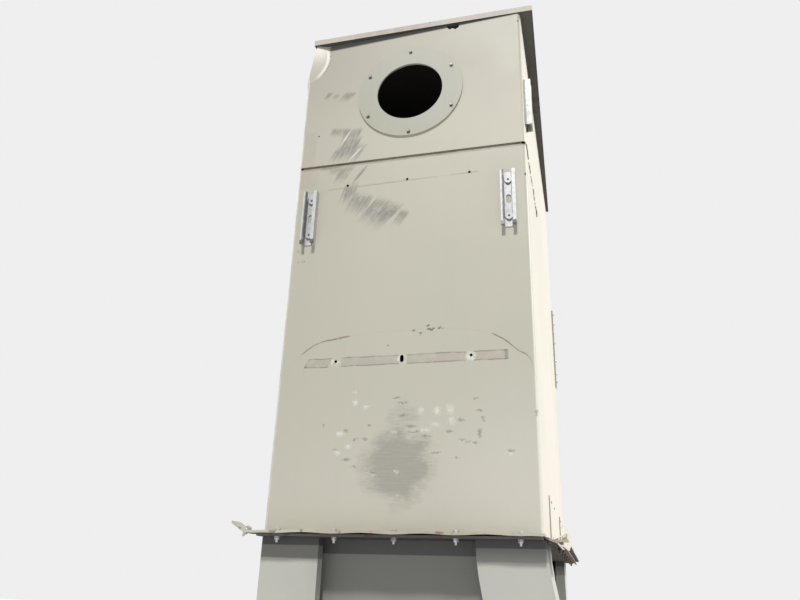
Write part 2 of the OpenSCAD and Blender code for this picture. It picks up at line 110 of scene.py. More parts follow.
class Tone(Enum):
    """Named colours of the object, and of its painted shade and painted highlights, as linear
    values.
    """

    CREAM_GREY = (0.545, 0.520, 0.425)
    WARM_GREY = (0.560, 0.525, 0.430)
    GREEN_GREY = (0.500, 0.490, 0.400)
    DULL_GREY = (0.400, 0.385, 0.315)
    # Lighter than CREAM_GREY partly as painted light on the sides.
    CREAM = (0.740, 0.700, 0.600)
    CREAM_SHADE = (0.660, 0.620, 0.520)
    ROOF_EDGE = (0.470, 0.420, 0.375)
    # Painted shade for faces that look down.
    UNDERSIDE = (0.024, 0.023, 0.020)
    # Painted shade for the inside faces of the sheets.
    INSIDE = (0.006, 0.007, 0.010)
    STAND = (0.500, 0.495, 0.435)
    STAND_SHADE = (0.360, 0.360, 0.320)
    # Darker than STAND partly as painted shade on the recessed hopper.
    HOPPER = (0.325, 0.322, 0.294)
    RUST = (0.170, 0.085, 0.045)
    DARK_RUST = (0.060, 0.035, 0.024)
    STAIN = (0.330, 0.250, 0.170)
    SCUFF = (0.236, 0.224, 0.200)
    # Also paints shade on the front channels and the roof's underside.
    SPECK = (0.060, 0.055, 0.045)
    CHALK = (0.760, 0.750, 0.690)
    TAPE = (0.400, 0.365, 0.310)
    TAPE_PINK = (0.430, 0.350, 0.300)
    # Also paints shade under the front's joint.
    TAPE_EDGE = (0.190, 0.175, 0.145)
    ZINC = (0.640, 0.645, 0.640)
    ZINC_DULL = (0.300, 0.310, 0.310)
    # Also paints shade on the side channels beside the wall and on the roof's underside.
    STEEL_DARK = (0.110, 0.105, 0.095)
    # Painted shadow under the roof and the base flange, and on the rails.
    GRIME = (0.060, 0.060, 0.066)
    JOINT = (0.360, 0.310, 0.225)
    # Also paints the highlights on the swelling's rim and the legs' folds.
    BRIGHT = (0.900, 0.870, 0.770)
    # Painted shade of the front rail, which lies in the base flange's shadow.
    GRIMY_RAIL = (0.150, 0.145, 0.130)
    RING = (0.440, 0.440, 0.365)


class Signal:
    """One output socket whose operators add the nodes of the sum they stand for."""

    def __init__(self, graph: "Graph", socket: bpy.types.NodeSocket) -> None:
        """Holds the socket and the graph it belongs to."""
        self.graph = graph
        self.socket = socket

    def __add__(self, other: "Signal | float") -> "Signal":
        """Sum of two values."""
        return self.graph.maths("ADD", self, other)

    __radd__ = __add__

    def __sub__(self, other: "Signal | float") -> "Signal":
        """Difference of two values."""
        return self.graph.maths("SUBTRACT", self, other)

    def __rsub__(self, other: float) -> "Signal":
        """A number less this value."""
        return self.graph.maths("SUBTRACT", other, self)

    def __mul__(self, other: "Signal | float") -> "Signal":
        """Product of two values."""
        return self.graph.maths("MULTIPLY", self, other)

    __rmul__ = __mul__

    def __truediv__(self, other: "Signal | float") -> "Signal":
        """Quotient of two values."""
        return self.graph.maths("DIVIDE", self, other)

    def __abs__(self) -> "Signal":
        """Value without its sign."""
        return self.graph.maths("ABSOLUTE", self)

    def smaller(self, other: "Signal | float") -> "Signal":
        """Smaller of two values."""
        return self.graph.maths("MINIMUM", self, other)

    def larger(self, other: "Signal | float") -> "Signal":
        """Larger of two values."""
        return self.graph.maths("MAXIMUM", self, other)

    def output(self, name: str) -> "Signal":
        """Another output of the same node."""
        return Signal(self.graph, self.socket.node.outputs[name])

    def step(self, low: float, high: float) -> "Signal":
        """Smooth step from 0 at low to 1 at high.

        Args:
            low: Value that gives 0.
            high: Value that gives 1, which may be the smaller one.

        Returns:
            The stepped value.
        """
        return self.graph.node("ShaderNodeMapRange", {"interpolation_type": "SMOOTHSTEP"},
                               {"Value": self, "From Min": low, "From Max": high}, "Result")

    def within(self, low: float, high: float, soft: float) -> "Signal":
        """Mask that is 1 between two values and fades over a soft width outside them."""
        return self.step(low - soft, low) * self.step(high + soft, high)


class Graph:
    """Node tree of a material or a world, built from expressions."""

    MIX_SOCKETS = (0, 6, 7)
    MIX_RESULT = 2

    def __init__(self, owner: bpy.types.Material | bpy.types.World) -> None:
        """Empties the owner's node tree.

        Args:
            owner: Material or world whose nodes the graph makes.
        """
        owner.use_nodes = True
        self.tree = owner.node_tree
        self.tree.nodes.clear()

    def node(self, kind: str, settings: dict, inputs: dict, output: str | int = 0) -> Signal:
        """Adds any node.

        Args:
            kind: Type name of the node.
            settings: Properties of the node, set before its sockets.
            inputs: Value or signal of each input, by name or number.
            output: Name or number of the output that is used on.

        Returns:
            The chosen output.
        """
        node = self.tree.nodes.new(kind)
        for key, value in settings.items():
            if key == "curve":
                self._curve(node.mapping, value)
            else:
                setattr(node, key, value)
        for key, value in inputs.items():
            self._feed(node.inputs[key], value)
        return Signal(self, node.outputs[output])

    def end(self, kind: str, shader: Signal) -> None:
        """Links a shader to the output node of that kind."""
        self.tree.links.new(shader.socket, self.tree.nodes.new(kind).inputs["Surface"])

    def _feed(self, socket: bpy.types.NodeSocket, value: object) -> None:
        """Links a signal to a socket, or sets its own value.

        Args:
            socket: Input of a node.
            value: Signal, tone, colour, vector or number.
        """
        if isinstance(value, Tone):
            value = value.value
        if isinstance(value, Signal):
            self.tree.links.new(value.socket, socket)
        elif isinstance(value, tuple) and socket.type == "RGBA":
            socket.default_value = (*value, 1.0)
        else:
            socket.default_value = value

    @staticmethod
    def _curve(mapping: bpy.types.CurveMapping, points: Sequence[Plane]) -> None:
        """Sets the points of a value curve.

        Args:
            mapping: The node's curve.
            points: Places on it, from left to right.
        """
        curve = mapping.curves[0]
        while len(curve.points) < len(points):
            curve.points.new(0.5, 0.5)
        for point, place in zip(curve.points, points):
            point.location = place
        mapping.update()

    def maths(self, operation: str, first: object, second: object = 0.0) -> Signal:
        """Adds one Math node."""
        return self.node("ShaderNodeMath", {"operation": operation}, {0: first, 1: second})

    def length(self, across: Signal, up: Signal) -> Signal:
        """Length of the diagonal over two distances."""
        return self.maths("SQRT", across * across + up * up)

    def mix(self, first: object, second: object, factor: object) -> Signal:
        """Mixes two colours by a factor.

        Args:
            first: Colour where the factor is 0.
            second: Colour where the factor is 1.
            factor: Share of the second colour.

        Returns:
            The mixed colour.
        """
        value, low, high = self.MIX_SOCKETS
        return self.node("ShaderNodeMix", {"data_type": "RGBA"},
                         {value: factor, low: first, high: second}, self.MIX_RESULT)


class MaterialGraph(Graph):
    """Node tree of one material, with the place on the object, its colour and its roughness."""

    def __init__(self, name: str) -> None:
        """Makes an empty material and splits up the place on the object.

        Args:
            name: Name of the material.
        """
        self.material = bpy.data.materials.new(name)
        super().__init__(self.material)
        self.place = self.node("ShaderNodeTexCoord", {}, {}, "Object")
        self.x = self.node("ShaderNodeSeparateXYZ", {}, {"Vector": self.place}, "X")
        self.y, self.z = self.x.output("Y"), self.x.output("Z")
        self.colour: Signal | None = None
        self.rough: Signal | float = 0.5

    def lay(self, over: Tone | Signal, mask: Signal) -> None:
        """Lays a tone over the material's colour where a mask says."""
        self.colour = self.mix(self.colour, over, mask)

    def vector(self, x: object, y: object, z: object = 0.0) -> Signal:
        """Joins three values into a vector."""
        return self.node("ShaderNodeCombineXYZ", {}, {"X": x, "Y": y, "Z": z})

    def noise(self, scale: float, detail: float = 3.0, at: Signal | None = None,
              rough: float = 0.55) -> Signal:
        """Soft noise around 0.5.

        Args:
            scale: How many grains fit in one unit of the place.
            detail: Number of finer layers.
            at: Place to look up, or the place on the object.
            rough: Weight of the finer layers.

        Returns:
            The noise value.
        """
        return self.node("ShaderNodeTexNoise", {"noise_dimensions": "3D"},
                         {"Vector": at or self.place, "Scale": scale, "Detail": detail,
                          "Roughness": rough}, 0)

    def direction(self, axis: str) -> Signal:
        """One axis of the direction that a face looks in."""
        normal = self.node("ShaderNodeNewGeometry", {}, {}, "True Normal")
        return self.node("ShaderNodeSeparateXYZ", {}, {"Vector": normal}, axis)

    def inward(self) -> Signal:
        """Mask of the faces that look towards the upright axis of the object."""
        across = self.direction("X")
        return (across * self.x + across.output("Y") * self.y).step(-0.005, -0.05)

    def downward(self) -> Signal:
        """Mask of the faces that look down."""
        return self.direction("Z").step(-0.35, -0.80)

    def frontward(self) -> Signal:
        """Mask of the faces that look to the inlet side."""
        return self.direction("Y").step(-0.50, -0.80)

    def nearest(self, place: Signal, spots: Sequence[Spot]) -> Signal:
        """Distance to the nearest of some spots, where 1 is a spot's own edge.

        Args:
            place: Place on the sheet, in millimetres.
            spots: Centre and half size of each spot, in millimetres.

        Returns:
            The smallest distance.
        """
        least = None
        for x, y, reach_x, reach_y in spots:
            moved = self.node("ShaderNodeVectorMath", {"operation": "SUBTRACT"},
                              {0: place, 1: (x, y, 0.0)})
            scaled = self.node("ShaderNodeVectorMath", {"operation": "MULTIPLY"},
                               {0: moved, 1: (1.0 / reach_x, 1.0 / reach_y, 0.0)})
            away = self.node("ShaderNodeVectorMath", {"operation": "LENGTH"}, {0: scaled}, "Value")
            least = away if least is None else least.smaller(away)
        return least

    def bump(self, height: Signal, strength: float, distance: float,
             under: Signal | None = None) -> Signal:
        """Turns a height into a surface normal.

        Args:
            height: Height value.
            strength: How much of the bump shows.
            distance: Height in metres that a value of 1 stands for.
            under: Normal that this one lies over.

        Returns:
            The bumped normal.
        """
        inputs: dict = {"Strength": strength, "Distance": distance, "Height": height}
        if under is not None:
            inputs["Normal"] = under
        return self.node("ShaderNodeBump", {}, inputs, "Normal")

    def surface(self, normal: Signal | None = None, metallic: float = 0.0) -> bpy.types.Material:
        """Closes the graph with its shader.

        Args:
            normal: Bumped normal.
            metallic: Share of bare metal.

        Returns:
            The finished material.
        """
        inputs: dict = {"Base Color": self.colour, "Roughness": self.rough, "Metallic": metallic}
        if normal is not None:
            inputs["Normal"] = normal
        shader = self.node("ShaderNodeBsdfPrincipled", {}, inputs, "BSDF")
        self.end("ShaderNodeOutputMaterial", shader)
        return self.material


class FrontGraph(MaterialGraph):
    """Node tree of a front sheet, which also knows the place on the front in millimetres."""

    def __init__(self, name: str) -> None:
        """Adds the distance from the cabinet's left edge and the height above its base.

        Args:
            name: Name of the material.
        """
        super().__init__(name)
        self.across = self.x * MM_PER_M - Sizes.left_x * MM_PER_M
        self.up = self.z * MM_PER_M - Sizes.base_z * MM_PER_M

    def rubbed(self, across: float, up: float, seed: float) -> Signal:
        """Noise with a number of grains in a millimetre across and one up, and its own seed."""
        return self.noise(1.0, 4.0, self.vector(self.across * across, self.up * up, seed))


@dataclass(frozen=True)
class Paint:
    """Worn satin paint on sheet steel, with mottling, faint runs, dust and orange peel."""

    canvas: ClassVar[type] = MaterialGraph

    name: str
    base: Tone
    shade: Tone
    roughness: float = 0.48
    peel: float = 0.12
    runs: float = 0.35

    def start(self) -> MaterialGraph:
        """Builds the plain worn paint.

        Returns:
            The graph, with the paint's colour and roughness.
        """
        graph = self.canvas(self.name)
        mottle = graph.noise(2.2, 4.0).step(0.35, 0.68)
        streak_place = graph.vector(graph.x * 34.0, graph.y * 34.0, graph.z * 1.6)
        streak = graph.noise(1.0, 4.0, streak_place).step(0.48, 0.74) * self.runs
        fine = graph.noise(160.0, 3.0).step(0.40, 0.75) * 0.10
        graph.colour = graph.mix(self.base, self.shade, mottle * 0.55)
        graph.lay(self.shade, streak)
        graph.lay(Tone.STAIN, fine * 0.35)
        graph.rough = 0.16 * graph.noise(9.0, 3.0) + (self.roughness - 0.08)
        return graph

    def mark(self, graph: MaterialGraph) -> None:
        """Lays on the marks that only one kind of sheet has."""

    def peel_normal(self, graph: MaterialGraph) -> Signal:
        """Orange peel of sprayed paint over slightly oil-canned sheet."""
        waves = graph.bump(graph.noise(1.9, 1.0), 0.25, 0.010)
        return graph.bump(graph.noise(420.0, 2.0), self.peel, 0.0006, waves)

    def build(self) -> bpy.types.Material:
        """Makes the material.

        Returns:
            The finished material.
        """
        graph = self.start()
        self.mark(graph)
        return graph.surface(self.peel_normal(graph))


@dataclass(frozen=True)
class CoveredPaint(Paint):
    """Outside paint of a sheet, with painted shade on its inside face."""

    def mark(self, graph: MaterialGraph) -> None:
        """Paints shade on the inside face."""
        graph.lay(Tone.INSIDE, graph.inward())


@dataclass(frozen=True)
class EdgedPaint(Paint):
    """Paint with dirt along the edges that look to the inlet side."""

    def mark(self, graph: MaterialGraph) -> None:
        """Dirties the front edges."""
        graph.lay(Tone.SCUFF, graph.frontward() * 0.8)


@dataclass(frozen=True)
class FlapPaint(Paint):
    """Paint on the outside of the torn corner, over rust on its inside and its front edge."""

    def mark(self, graph: MaterialGraph) -> None:
        """Rusts the patches, the inside and the torn edge.

        Args:
            graph: Graph that gets the nodes.
        """
        patch = graph.noise(60.0, 5.0, rough=0.7)
        rust = graph.mix(Tone.RUST, Tone.DARK_RUST, patch.step(0.38, 0.60))
        below = graph.z.step(Sizes.base_z - 0.004, Sizes.base_z - 0.016)
        inside = graph.direction("X").step(0.15, -0.15).larger(graph.downward())
        torn = inside.larger(graph.frontward() * below)
        graph.lay(rust, patch.step(0.56, 0.62) * 0.6)
        graph.lay(rust, torn * 0.95)
        graph.rough = graph.rough + torn * 0.3


@dataclass(frozen=True)
class RustyPaint(Paint):
    """Paint chipped to rust along its edges and in patches, with painted shade mottled with dark
    rust on its downward faces and, if asked, painted shade on the faces that look to the inlet
    side.
    """

    rust: float = 0.5
    front_grime: float = 0.0
    # Weight of the painted shade on the downward faces.
    under: float = 0.95

    def build(self) -> bpy.types.Material:
        """Makes the material, in which the rust also lies deeper than the paint.

        Returns:
            The finished material.
        """
        graph = self.start()
        patch = graph.noise(24.0, 6.0, rough=0.7)
        worn = patch.step(0.62 - 0.08 * self.rust, 0.68 - 0.08 * self.rust)
        bright = graph.noise(90.0, 3.0)
        rust = graph.mix(Tone.RUST, Tone.DARK_RUST, bright.step(0.40, 0.65))
        graph.lay(rust, worn * (0.35 + 0.45 * self.rust))
        # Painted shade on the faces that look to the inlet side, which lie in the flange's shadow.
        if self.front_grime:
            graph.lay(Tone.GRIME, graph.frontward() * self.front_grime)
        # Painted shade on the downward faces, mottled with real dark rust.
        below = graph.mix(Tone.UNDERSIDE, Tone.DARK_RUST, graph.noise(40.0, 4.0).step(0.42, 0.60))
        graph.lay(below, graph.downward() * self.under)
        normal = graph.bump(worn, 0.35, -0.0005, self.peel_normal(graph))
        graph.rough = (graph.rough + worn * 0.3 + graph.downward() * 0.6).smaller(1.0)
        return graph.surface(normal)


@dataclass(frozen=True)
class BandedPaint(Paint):
    """Paint with a painted shadow along its top: a dark band, and lighter painted shade that fades
    out below it.

    The heights are in metres: top is where the band starts, and band and fade are how far the
    dark band and the lighter painted shade reach below it.
    """

    top: float = 1.594
    band: float = 0.018
    fade: float = 0.048
    weight: float = 0.90
    second: float = 0.62
    light: float = 0.22
    fold_top: float = 1.52

    def mark(self, graph: MaterialGraph) -> None:
        """Lays on the painted shadow under the flange, the painted shade on downward faces, the
        lighter part towards the right and the painted highlight on the fold.

        Args:
            graph: Graph that gets the nodes.
        """
        edge = self.top - self.band
        # Painted shadow of the base flange: a dark band, then lighter shade fading out below it.
        graph.lay(Tone.GRIME, graph.z.step(edge - 0.0012, edge + 0.0012) * self.weight)
        under = self.top - self.fade + (graph.noise(14.0, 2.0) - 0.5) * 0.006
        graph.lay(Tone.GRIME, (graph.z - under).step(-0.0022, 0.0022) * self.second)
        # Painted shade on the faces that look down.
        graph.lay(Tone.UNDERSIDE, graph.downward() * 0.7)
        clear = graph.x.step(-0.25, 0.30) * graph.z.step(edge, edge - 0.03)
        graph.lay(Tone.CHALK, clear * self.light)
        # Painted highlight on the legs' folds.
        fold = graph.direction("X").step(-0.15, -0.30) * graph.direction("Y").step(-0.15, -0.30)
        graph.lay(Tone.BRIGHT, fold * graph.z.step(self.fold_top, self.fold_top - 0.02) * 0.9)


@dataclass(frozen=True)
class Strokes:
    """A slanted patch of parallel rubbed strokes on the front, in millimetres.

    start is the patch's first corner, top runs along its upper end, and down runs along the
    strokes.
    """

    start: Plane
    top: Plane
    down: Plane
    weight: float = 1.0

    def mask(self, graph: FrontGraph) -> Signal:
        """Mask of the strokes.

        Args:
            graph: Graph that gets the nodes.

        Returns:
            A value from 0 to the patch's weight.
        """
        area = self.top[0] * self.down[1] - self.top[1] * self.down[0]
        du, dv = graph.across - self.start[0], graph.up - self.start[1]
        side = du * (self.down[1] / area) - dv * (self.down[0] / area)
        deep = dv * (self.top[0] / area) - du * (self.top[1] / area)
        length = math.hypot(*self.down)
        width = abs(area) / length
        lane = side * (width * 0.26)
        hatch = graph.noise(1.0, 3.0, graph.vector(lane, deep * (length * 0.010), self.start[0]))
        ends = graph.noise(1.0, 2.0, graph.vector(lane * 0.7, 0.0, self.start[1])) - 0.5
        body = (deep + ends * 0.60).step(1.05, 0.40) * (deep + ends * 0.40).step(-0.12, 0.22)
        soft = min(0.42, 8.0 / width)
        smudge = graph.noise(0.045, 3.0, graph.vector(du, dv, self.start[0])).step(0.30, 0.62)
        streaks = (hatch.step(0.34, 0.60) * 0.75 + smudge * 0.50).smaller(1.0)
        return side.within(0.06, 0.94, soft) * body * streaks * self.weight


UPPER_STROKES = (
    Strokes((79, 1348), (11, -3), (-20, -28), 1.00),
    Strokes((102, 1337), (13, -3), (-15, -20), 0.70),
    Strokes((140, 1338), (28, -5), (-30, -36), 1.00),
    Strokes((102, 1205), (62, -10), (-12, -32), 0.85),
    Strokes((148, 1198), (50, -8), (-22, -50), 0.85),
    Strokes((140, 1165), (58, -5), (-41, -92), 1.00),
    Strokes((190, 1133), (23, -4), (-40, -68), 0.80),
    Strokes((120, 1126), (34, 0), (-28, -50), 0.90),
)
UPPER_BRIGHT = (
    Strokes((161, 1194), (5, 0), (-44, -76), 1.00),
    Strokes((197, 1125), (6, 0), (-46, -55), 1.00),
)
LOWER_STROKES = (
    Strokes((78, 1066), (58, -2), (-6, -15), 0.85),
    Strokes((108, 1062), (74, -5), (-16, -30), 0.60),
    Strokes((142, 1059), (34, 0), (-30, -60), 0.80),
    Strokes((213, 1051), (8, 0), (-51, -70), 1.00),
    Strokes((157, 994), (38, 0), (-22, -74), 0.90),
    Strokes((184, 966), (60, -20), (-34, -72), 0.78),
    Strokes((258, 938), (38, -16), (-66, -80), 0.95),
    Strokes((298, 920), (36, -16), (-78, -80), 1.00),
    Strokes((332, 890), (22, -8), (-34, -50), 0.90),
)


@dataclass(frozen=True)
class FrontPaint(Paint):
    """A front sheet's paint with its rubbed strokes, tints, dirt, painted shade and highlights,
    placed in millimetres.
    """

    canvas: ClassVar[type] = FrontGraph

    strokes: tuple[Strokes, ...] = ()
    bright: tuple[Strokes, ...] = ()
    width: float = 690.0
    # Width of the painted highlight round the swelling, in millimetres.
    rim: float = 7.0
    # Painted shadow of the roof's lip: its lower edge at the left, and its slope.
    grime_left: float = 1513.0
    grime_slope: float = 0.046
    warm_up: Plane = (1000.0, 1150.0)
    # Painted shade towards the top and towards the left.
    dull_up: Plane = (1060.0, 1500.0)
    dull_across: Plane = (330.0, 0.0)
    green_top: Plane = (1000.0, 700.0)
    green_foot: Plane = (-200.0, 500.0)
    under_joint: Plane = (1004.0, 1062.0)
    over_joint: Plane = (1070.0, 1190.0)
    joint_edge: float = 1067.0
    # Painted highlight along the left fold.
    worn_edge: Plane = (10.0, 6.0)

    def mark(self, graph: FrontGraph) -> None:
        """Lays on the tints and painted shade, the strokes and the sheet's own marks, and paints
        shade on the inside.

        Args:
            graph: Graph that gets the nodes.
        """
        self.stains(graph)
        rubbed = self.strokes[0].mask(graph)
        for patch in self.strokes[1:]:
            rubbed = rubbed.larger(patch.mask(graph))
        graph.lay(Tone.SCUFF, rubbed * 0.92)
        for patch in self.bright:
            graph.lay(Tone.CHALK, patch.mask(graph) * 0.8)
        self.own_marks(graph)
        # Painted shade on the inside faces.
        graph.lay(Tone.INSIDE, graph.inward())

    def stains(self, graph: FrontGraph) -> None:
        """Warms the upper sheet, greens the lower one, dirties the joint and the foot and lightens
        the bottom and the lower right, with painted shade towards the top, the left and under the
        joint, and a painted highlight on the left fold.

        Args:
            graph: Graph that gets the nodes.
        """
        across, up = graph.across, graph.up
        graph.lay(Tone.WARM_GREY, up.step(*self.warm_up) * 0.6)
        # Painted shade, darker towards the top and the left.
        dull = up.step(*self.dull_up) * 0.55 + across.step(*self.dull_across) * 0.30
        graph.lay(Tone.DULL_GREY, dull)
        lower = up.step(*self.green_top) * up.step(*self.green_foot)
        graph.lay(Tone.GREEN_GREY, lower * 0.35)
        ragged = graph.noise(14.0, 4.0).step(0.42, 0.68)
        under_joint = up.within(*self.under_joint, 16.0) * across.step(80.0, 30.0)
        over_joint = up.within(*self.over_joint, 20.0) * across.within(16.0, 44.0, 12.0) * 0.7
        joint = under_joint.larger(over_joint)
        graph.lay(Tone.STAIN, joint * (ragged * 0.4 + 0.6) * 0.30)
        # Painted shade along the lower sheet's top edge, under the joint.
        below = up.step(self.joint_edge + 2.0, self.joint_edge)
        lip = up.step(self.joint_edge - 11.0, self.joint_edge - 7.0) * below
        graph.lay(Tone.TAPE_EDGE, lip * (ragged * 0.4 + 0.6) * 0.65)
        foot = up.step(50.0, 0.0) * ragged
        graph.lay(Tone.STAIN, foot * 0.14)
        low_right = (up.step(420.0, 0.0) * 0.5
                     + up.step(520.0, 160.0) * across.step(380.0, self.width) * 0.5)
        graph.lay(Tone.CHALK, low_right * 0.32)
        # Painted highlight along the sheet's left fold.
        worn = across.step(*self.worn_edge) * (graph.noise(22.0, 3.0).step(0.34, 0.56) * 0.5 + 0.5)
        graph.lay(Tone.CHALK, worn * 0.75)

    def own_marks(self, graph: FrontGraph) -> None:
        """Adds the painted shadow under the roof, and the swelling's painted highlight along its
        rim and its lighter, warmer face.

        Args:
            graph: Graph that gets the nodes.
        """
        # Painted shadow of the roof's lip on the top of the sheet.
        line = graph.up - (self.grime_left + graph.across * self.grime_slope)
        grime = line.step(-4.0, 2.5) * graph.across.step(64.0, 74.0)
        graph.lay(Tone.GRIME, grime * 0.80)
        du, dv = graph.across - SWELLING[0], graph.up - SWELLING[1]
        away = graph.length(du, dv)
        inner = SWELLING_RADIUS - self.rim
        graph.lay(Tone.CREAM, away.step(SWELLING_RADIUS + 1.0, inner) * 0.50)
        slope = dv / du
        turn = slope.step(0.42, -0.05) * slope.step(-1.35, -0.75)
        # Painted highlight along the swelling's rim.
        rim = away.within(inner, SWELLING_RADIUS, 3.0) * (turn * 0.8 + 0.2)
        graph.lay(Tone.BRIGHT, rim * 0.95)


@dataclass(frozen=True)
class LowerFrontPaint(FrontPaint):
    """The lower front sheet's paint, with its tape mark, scratch, scuff, flecks and specks."""

    tape_up: float = 439.5
    tape_first: Plane = (79.0, 144.0)
    tape_lengths: tuple[Plane, ...] = ((180.0, 336.0), (360.0, 512.0), (536.0, 621.0))
    hole_middle: float = 345.0
    hole_pitch: float = 183.0
    scuff: Spot = (343.0, 165.0, 92.0, 96.0)
    scuff_neck: Spot = (350.0, 285.0, 46.0, 50.0)
    seep_up: float = 982.0
    arch: tuple[Plane, ...] = (
        (0.044, 0.448), (0.072, 0.474), (0.105, 0.495), (0.154, 0.506), (0.205, 0.513),
        (0.345, 0.520), (0.500, 0.516), (0.587, 0.495), (0.622, 0.472), (0.650, 0.446),
        (0.672, 0.432), (0.684, 0.400),
    )
    flecks: tuple[Spot, ...] = (
        (224, 327, 8, 8), (253, 315, 9, 6), (400, 299, 7, 9), (441, 300, 9, 11),
        (475, 304, 11, 13), (477, 273, 7, 9), (437, 265, 13, 6), (188, 247, 12, 7),
        (210, 215, 10, 6), (181, 199, 8, 7), (619, 192, 9, 4), (222, 357, 7, 3),
        (279, 140, 5, 6), (340, 150, 4, 6), (413, 252, 14, 5), (330, 250, 8, 4),
    )
    specks: tuple[Spot, ...] = (
        (203, 254, 7, 4), (229, 232, 10, 4), (263, 267, 6, 4), (178, 206, 8, 3),
        (140, 270, 5, 4), (207, 182, 12, 3), (228, 163, 8, 3), (278, 149, 7, 3),
        (254, 233, 8, 6), (501, 275, 14, 3), (557, 276, 5, 7), (472, 247, 9, 4),
        (505, 226, 10, 3), (518, 220, 8, 3), (547, 241, 5, 13), (537, 218, 6, 4),
        (491, 183, 4, 4), (440, 195, 14, 3), (621, 197, 9, 3), (539, 328, 8, 3),
        (548, 297, 9, 3), (335, 336, 12, 3), (350, 323, 14, 3), (415, 237, 16, 3),
        (375, 262, 12, 4), (352, 290, 14, 4), (380, 248, 16, 3),
    )
    spots: tuple[Spot, ...] = (
        (411, 529, 7, 4), (421, 519, 10, 4), (446, 520, 10, 2.5), (375, 518, 4, 3),
        (393, 509, 6, 2.5), (304, 480, 3, 3), (72, 415, 3, 3), (685, 288, 3, 9),
        (37, 775, 4, 3), (42, 750, 4, 3), (24, 749, 4, 3), (23, 784, 4, 3),
    )

    def own_marks(self, graph: FrontGraph) -> None:
        """Adds the marks that only this sheet has.

        Args:
            graph: Graph that gets the nodes.
        """
        wobble = graph.noise(26.0, 3.0) - 0.5
        self.tape(graph, wobble)
        self.rubbed_patch(graph)
        self.flecked(graph)
        self.arched_scratch(graph, wobble)
        self.seep(graph, wobble)

    def tape(self, graph: FrontGraph, wobble: Signal) -> None:
        """Adds the residue of a torn-off strip: four lengths, bare round the holes.

        Args:
            graph: Graph that gets the nodes.
            wobble: Unevenness of its edges.
        """
        across, level = graph.across, graph.up - (self.tape_up + wobble * 5.0)
        reach = abs(level)
        along = across + wobble * 4.0
        lengths = (along - level * 0.45).within(*self.tape_first, 3.0)
        for low, high in self.tape_lengths:
            lengths = lengths.larger(along.within(low, high, 3.0))
        patchy = graph.noise(60.0, 4.0).step(0.32, 0.58) * 0.6 + 0.4
        body = reach.step(13.5, 11.0) * lengths * patchy
        rim = reach.within(10.5, 12.5, 1.6) * lengths
        ends = (1.0 - along.within(80.0, 612.0, 2.0)) * lengths * reach.step(13.0, 11.0)
        graph.lay(graph.mix(Tone.TAPE, Tone.TAPE_PINK, across.step(330.0, 420.0)), body * 0.55)
        scribble = graph.rubbed(0.10, 0.30, 11.0).step(0.55, 0.66)
        graph.lay(Tone.TAPE_EDGE, scribble * body * across.step(150.0, 125.0) * 0.6)
        graph.lay(Tone.TAPE_EDGE, rim * patchy * 0.60 + ends * 0.5)
        middle = across - self.hole_middle
        near = graph.length(abs(middle) - self.hole_pitch, level).smaller(
            graph.length(middle, level))
        chips = graph.noise(95.0, 3.0).step(0.44, 0.56)
        graph.lay(Tone.CHALK, near.within(5.0, 10.0, 6.0) * chips * 0.75)

    def rubbed_patch(self, graph: FrontGraph) -> None:
        """Adds the grey rubbed patch low on the sheet.

        Args:
            graph: Graph that gets the nodes.
        """
        drift = graph.rubbed(0.018, 0.030, 3.0) - 0.5
        x, y, wide, high = self.scuff
        away = graph.length((graph.across - x) / wide, (graph.up - y) / high)
        core = (away + drift * 1.1).step(1.22, 0.58)
        place = graph.vector(graph.across * 0.020, graph.up * 0.20, 0.0)
        rows = graph.noise(1.0, 5.0, place, 0.7)
        x, y, wide, high = self.scuff_neck
        away = graph.length((graph.across - x) / wide, (graph.up - y) / high)
        neck = (away + drift * 1.6).step(1.1, 0.5)
        grey = core * (rows.step(0.25, 0.65) * 0.22 + 0.66) + neck * rows.step(0.30, 0.62) * 0.40
        ragged = graph.rubbed(0.05, 0.24, 7.0).step(0.30, 0.60)
        edge = core * (1.0 - core) * 4.0
        grey = grey * (1.0 - edge * (1.0 - ragged) * 0.8)
        graph.lay(Tone.SCUFF, grey * 0.72)

    def flecked(self, graph: FrontGraph) -> None:
        """Adds the chalky flecks and the dark specks.

        Args:
            graph: Graph that gets the nodes.
        """
        shake = graph.vector((graph.noise(150.0, 3.0) - 0.5) * 26.0,
                             (graph.noise(170.0, 3.0) - 0.5) * 18.0)
        place = graph.node("ShaderNodeVectorMath", {"operation": "ADD"},
                           {0: graph.vector(graph.across, graph.up), 1: shake})
        dark = graph.nearest(place, self.specks).step(1.25, 0.35)
        graph.lay(Tone.SCUFF, dark * 0.70)
        chalk = graph.nearest(place, self.flecks).step(1.45, 0.10)
        graph.lay(Tone.CHALK, chalk * (graph.noise(70.0, 2.0).step(0.30, 0.65) * 0.5 + 0.3))
        spot = graph.nearest(place, self.spots).step(1.20, 0.50)
        graph.lay(Tone.SPECK, spot * 0.75)

    def arched_scratch(self, graph: FrontGraph, wobble: Signal) -> None:
        """Adds the long arched scratch, which is broken in its middle.

        Args:
            graph: Graph that gets the nodes.
            wobble: Unevenness of the line.
        """
        across = graph.across
        height = graph.node("ShaderNodeFloatCurve", {"curve": self.arch},
                            {"Value": across * MM, "Factor": 1.0})
        away = abs(graph.up - height * MM_PER_M + wobble * 7.0)
        broken = graph.noise(1.0, 3.0, graph.vector(across * 0.030, 0.0, 5.0)).step(0.40, 0.58)
        ends = across.within(70.0, 185.0, 22.0).larger(across.within(590.0, 684.0, 14.0))
        line = away.step(4.0, 0.8) * (ends * 0.80 + 0.08) * (broken * 0.6 + 0.4)
        graph.lay(Tone.STAIN, line)
        thick = across.within(118.0, 168.0, 12.0).larger(across.within(596.0, 650.0, 12.0))
        edge = away.step(2.2, 0.5) * (ends * broken * 0.6 + thick * 0.5)
        graph.lay(Tone.SPECK, edge * 0.6)

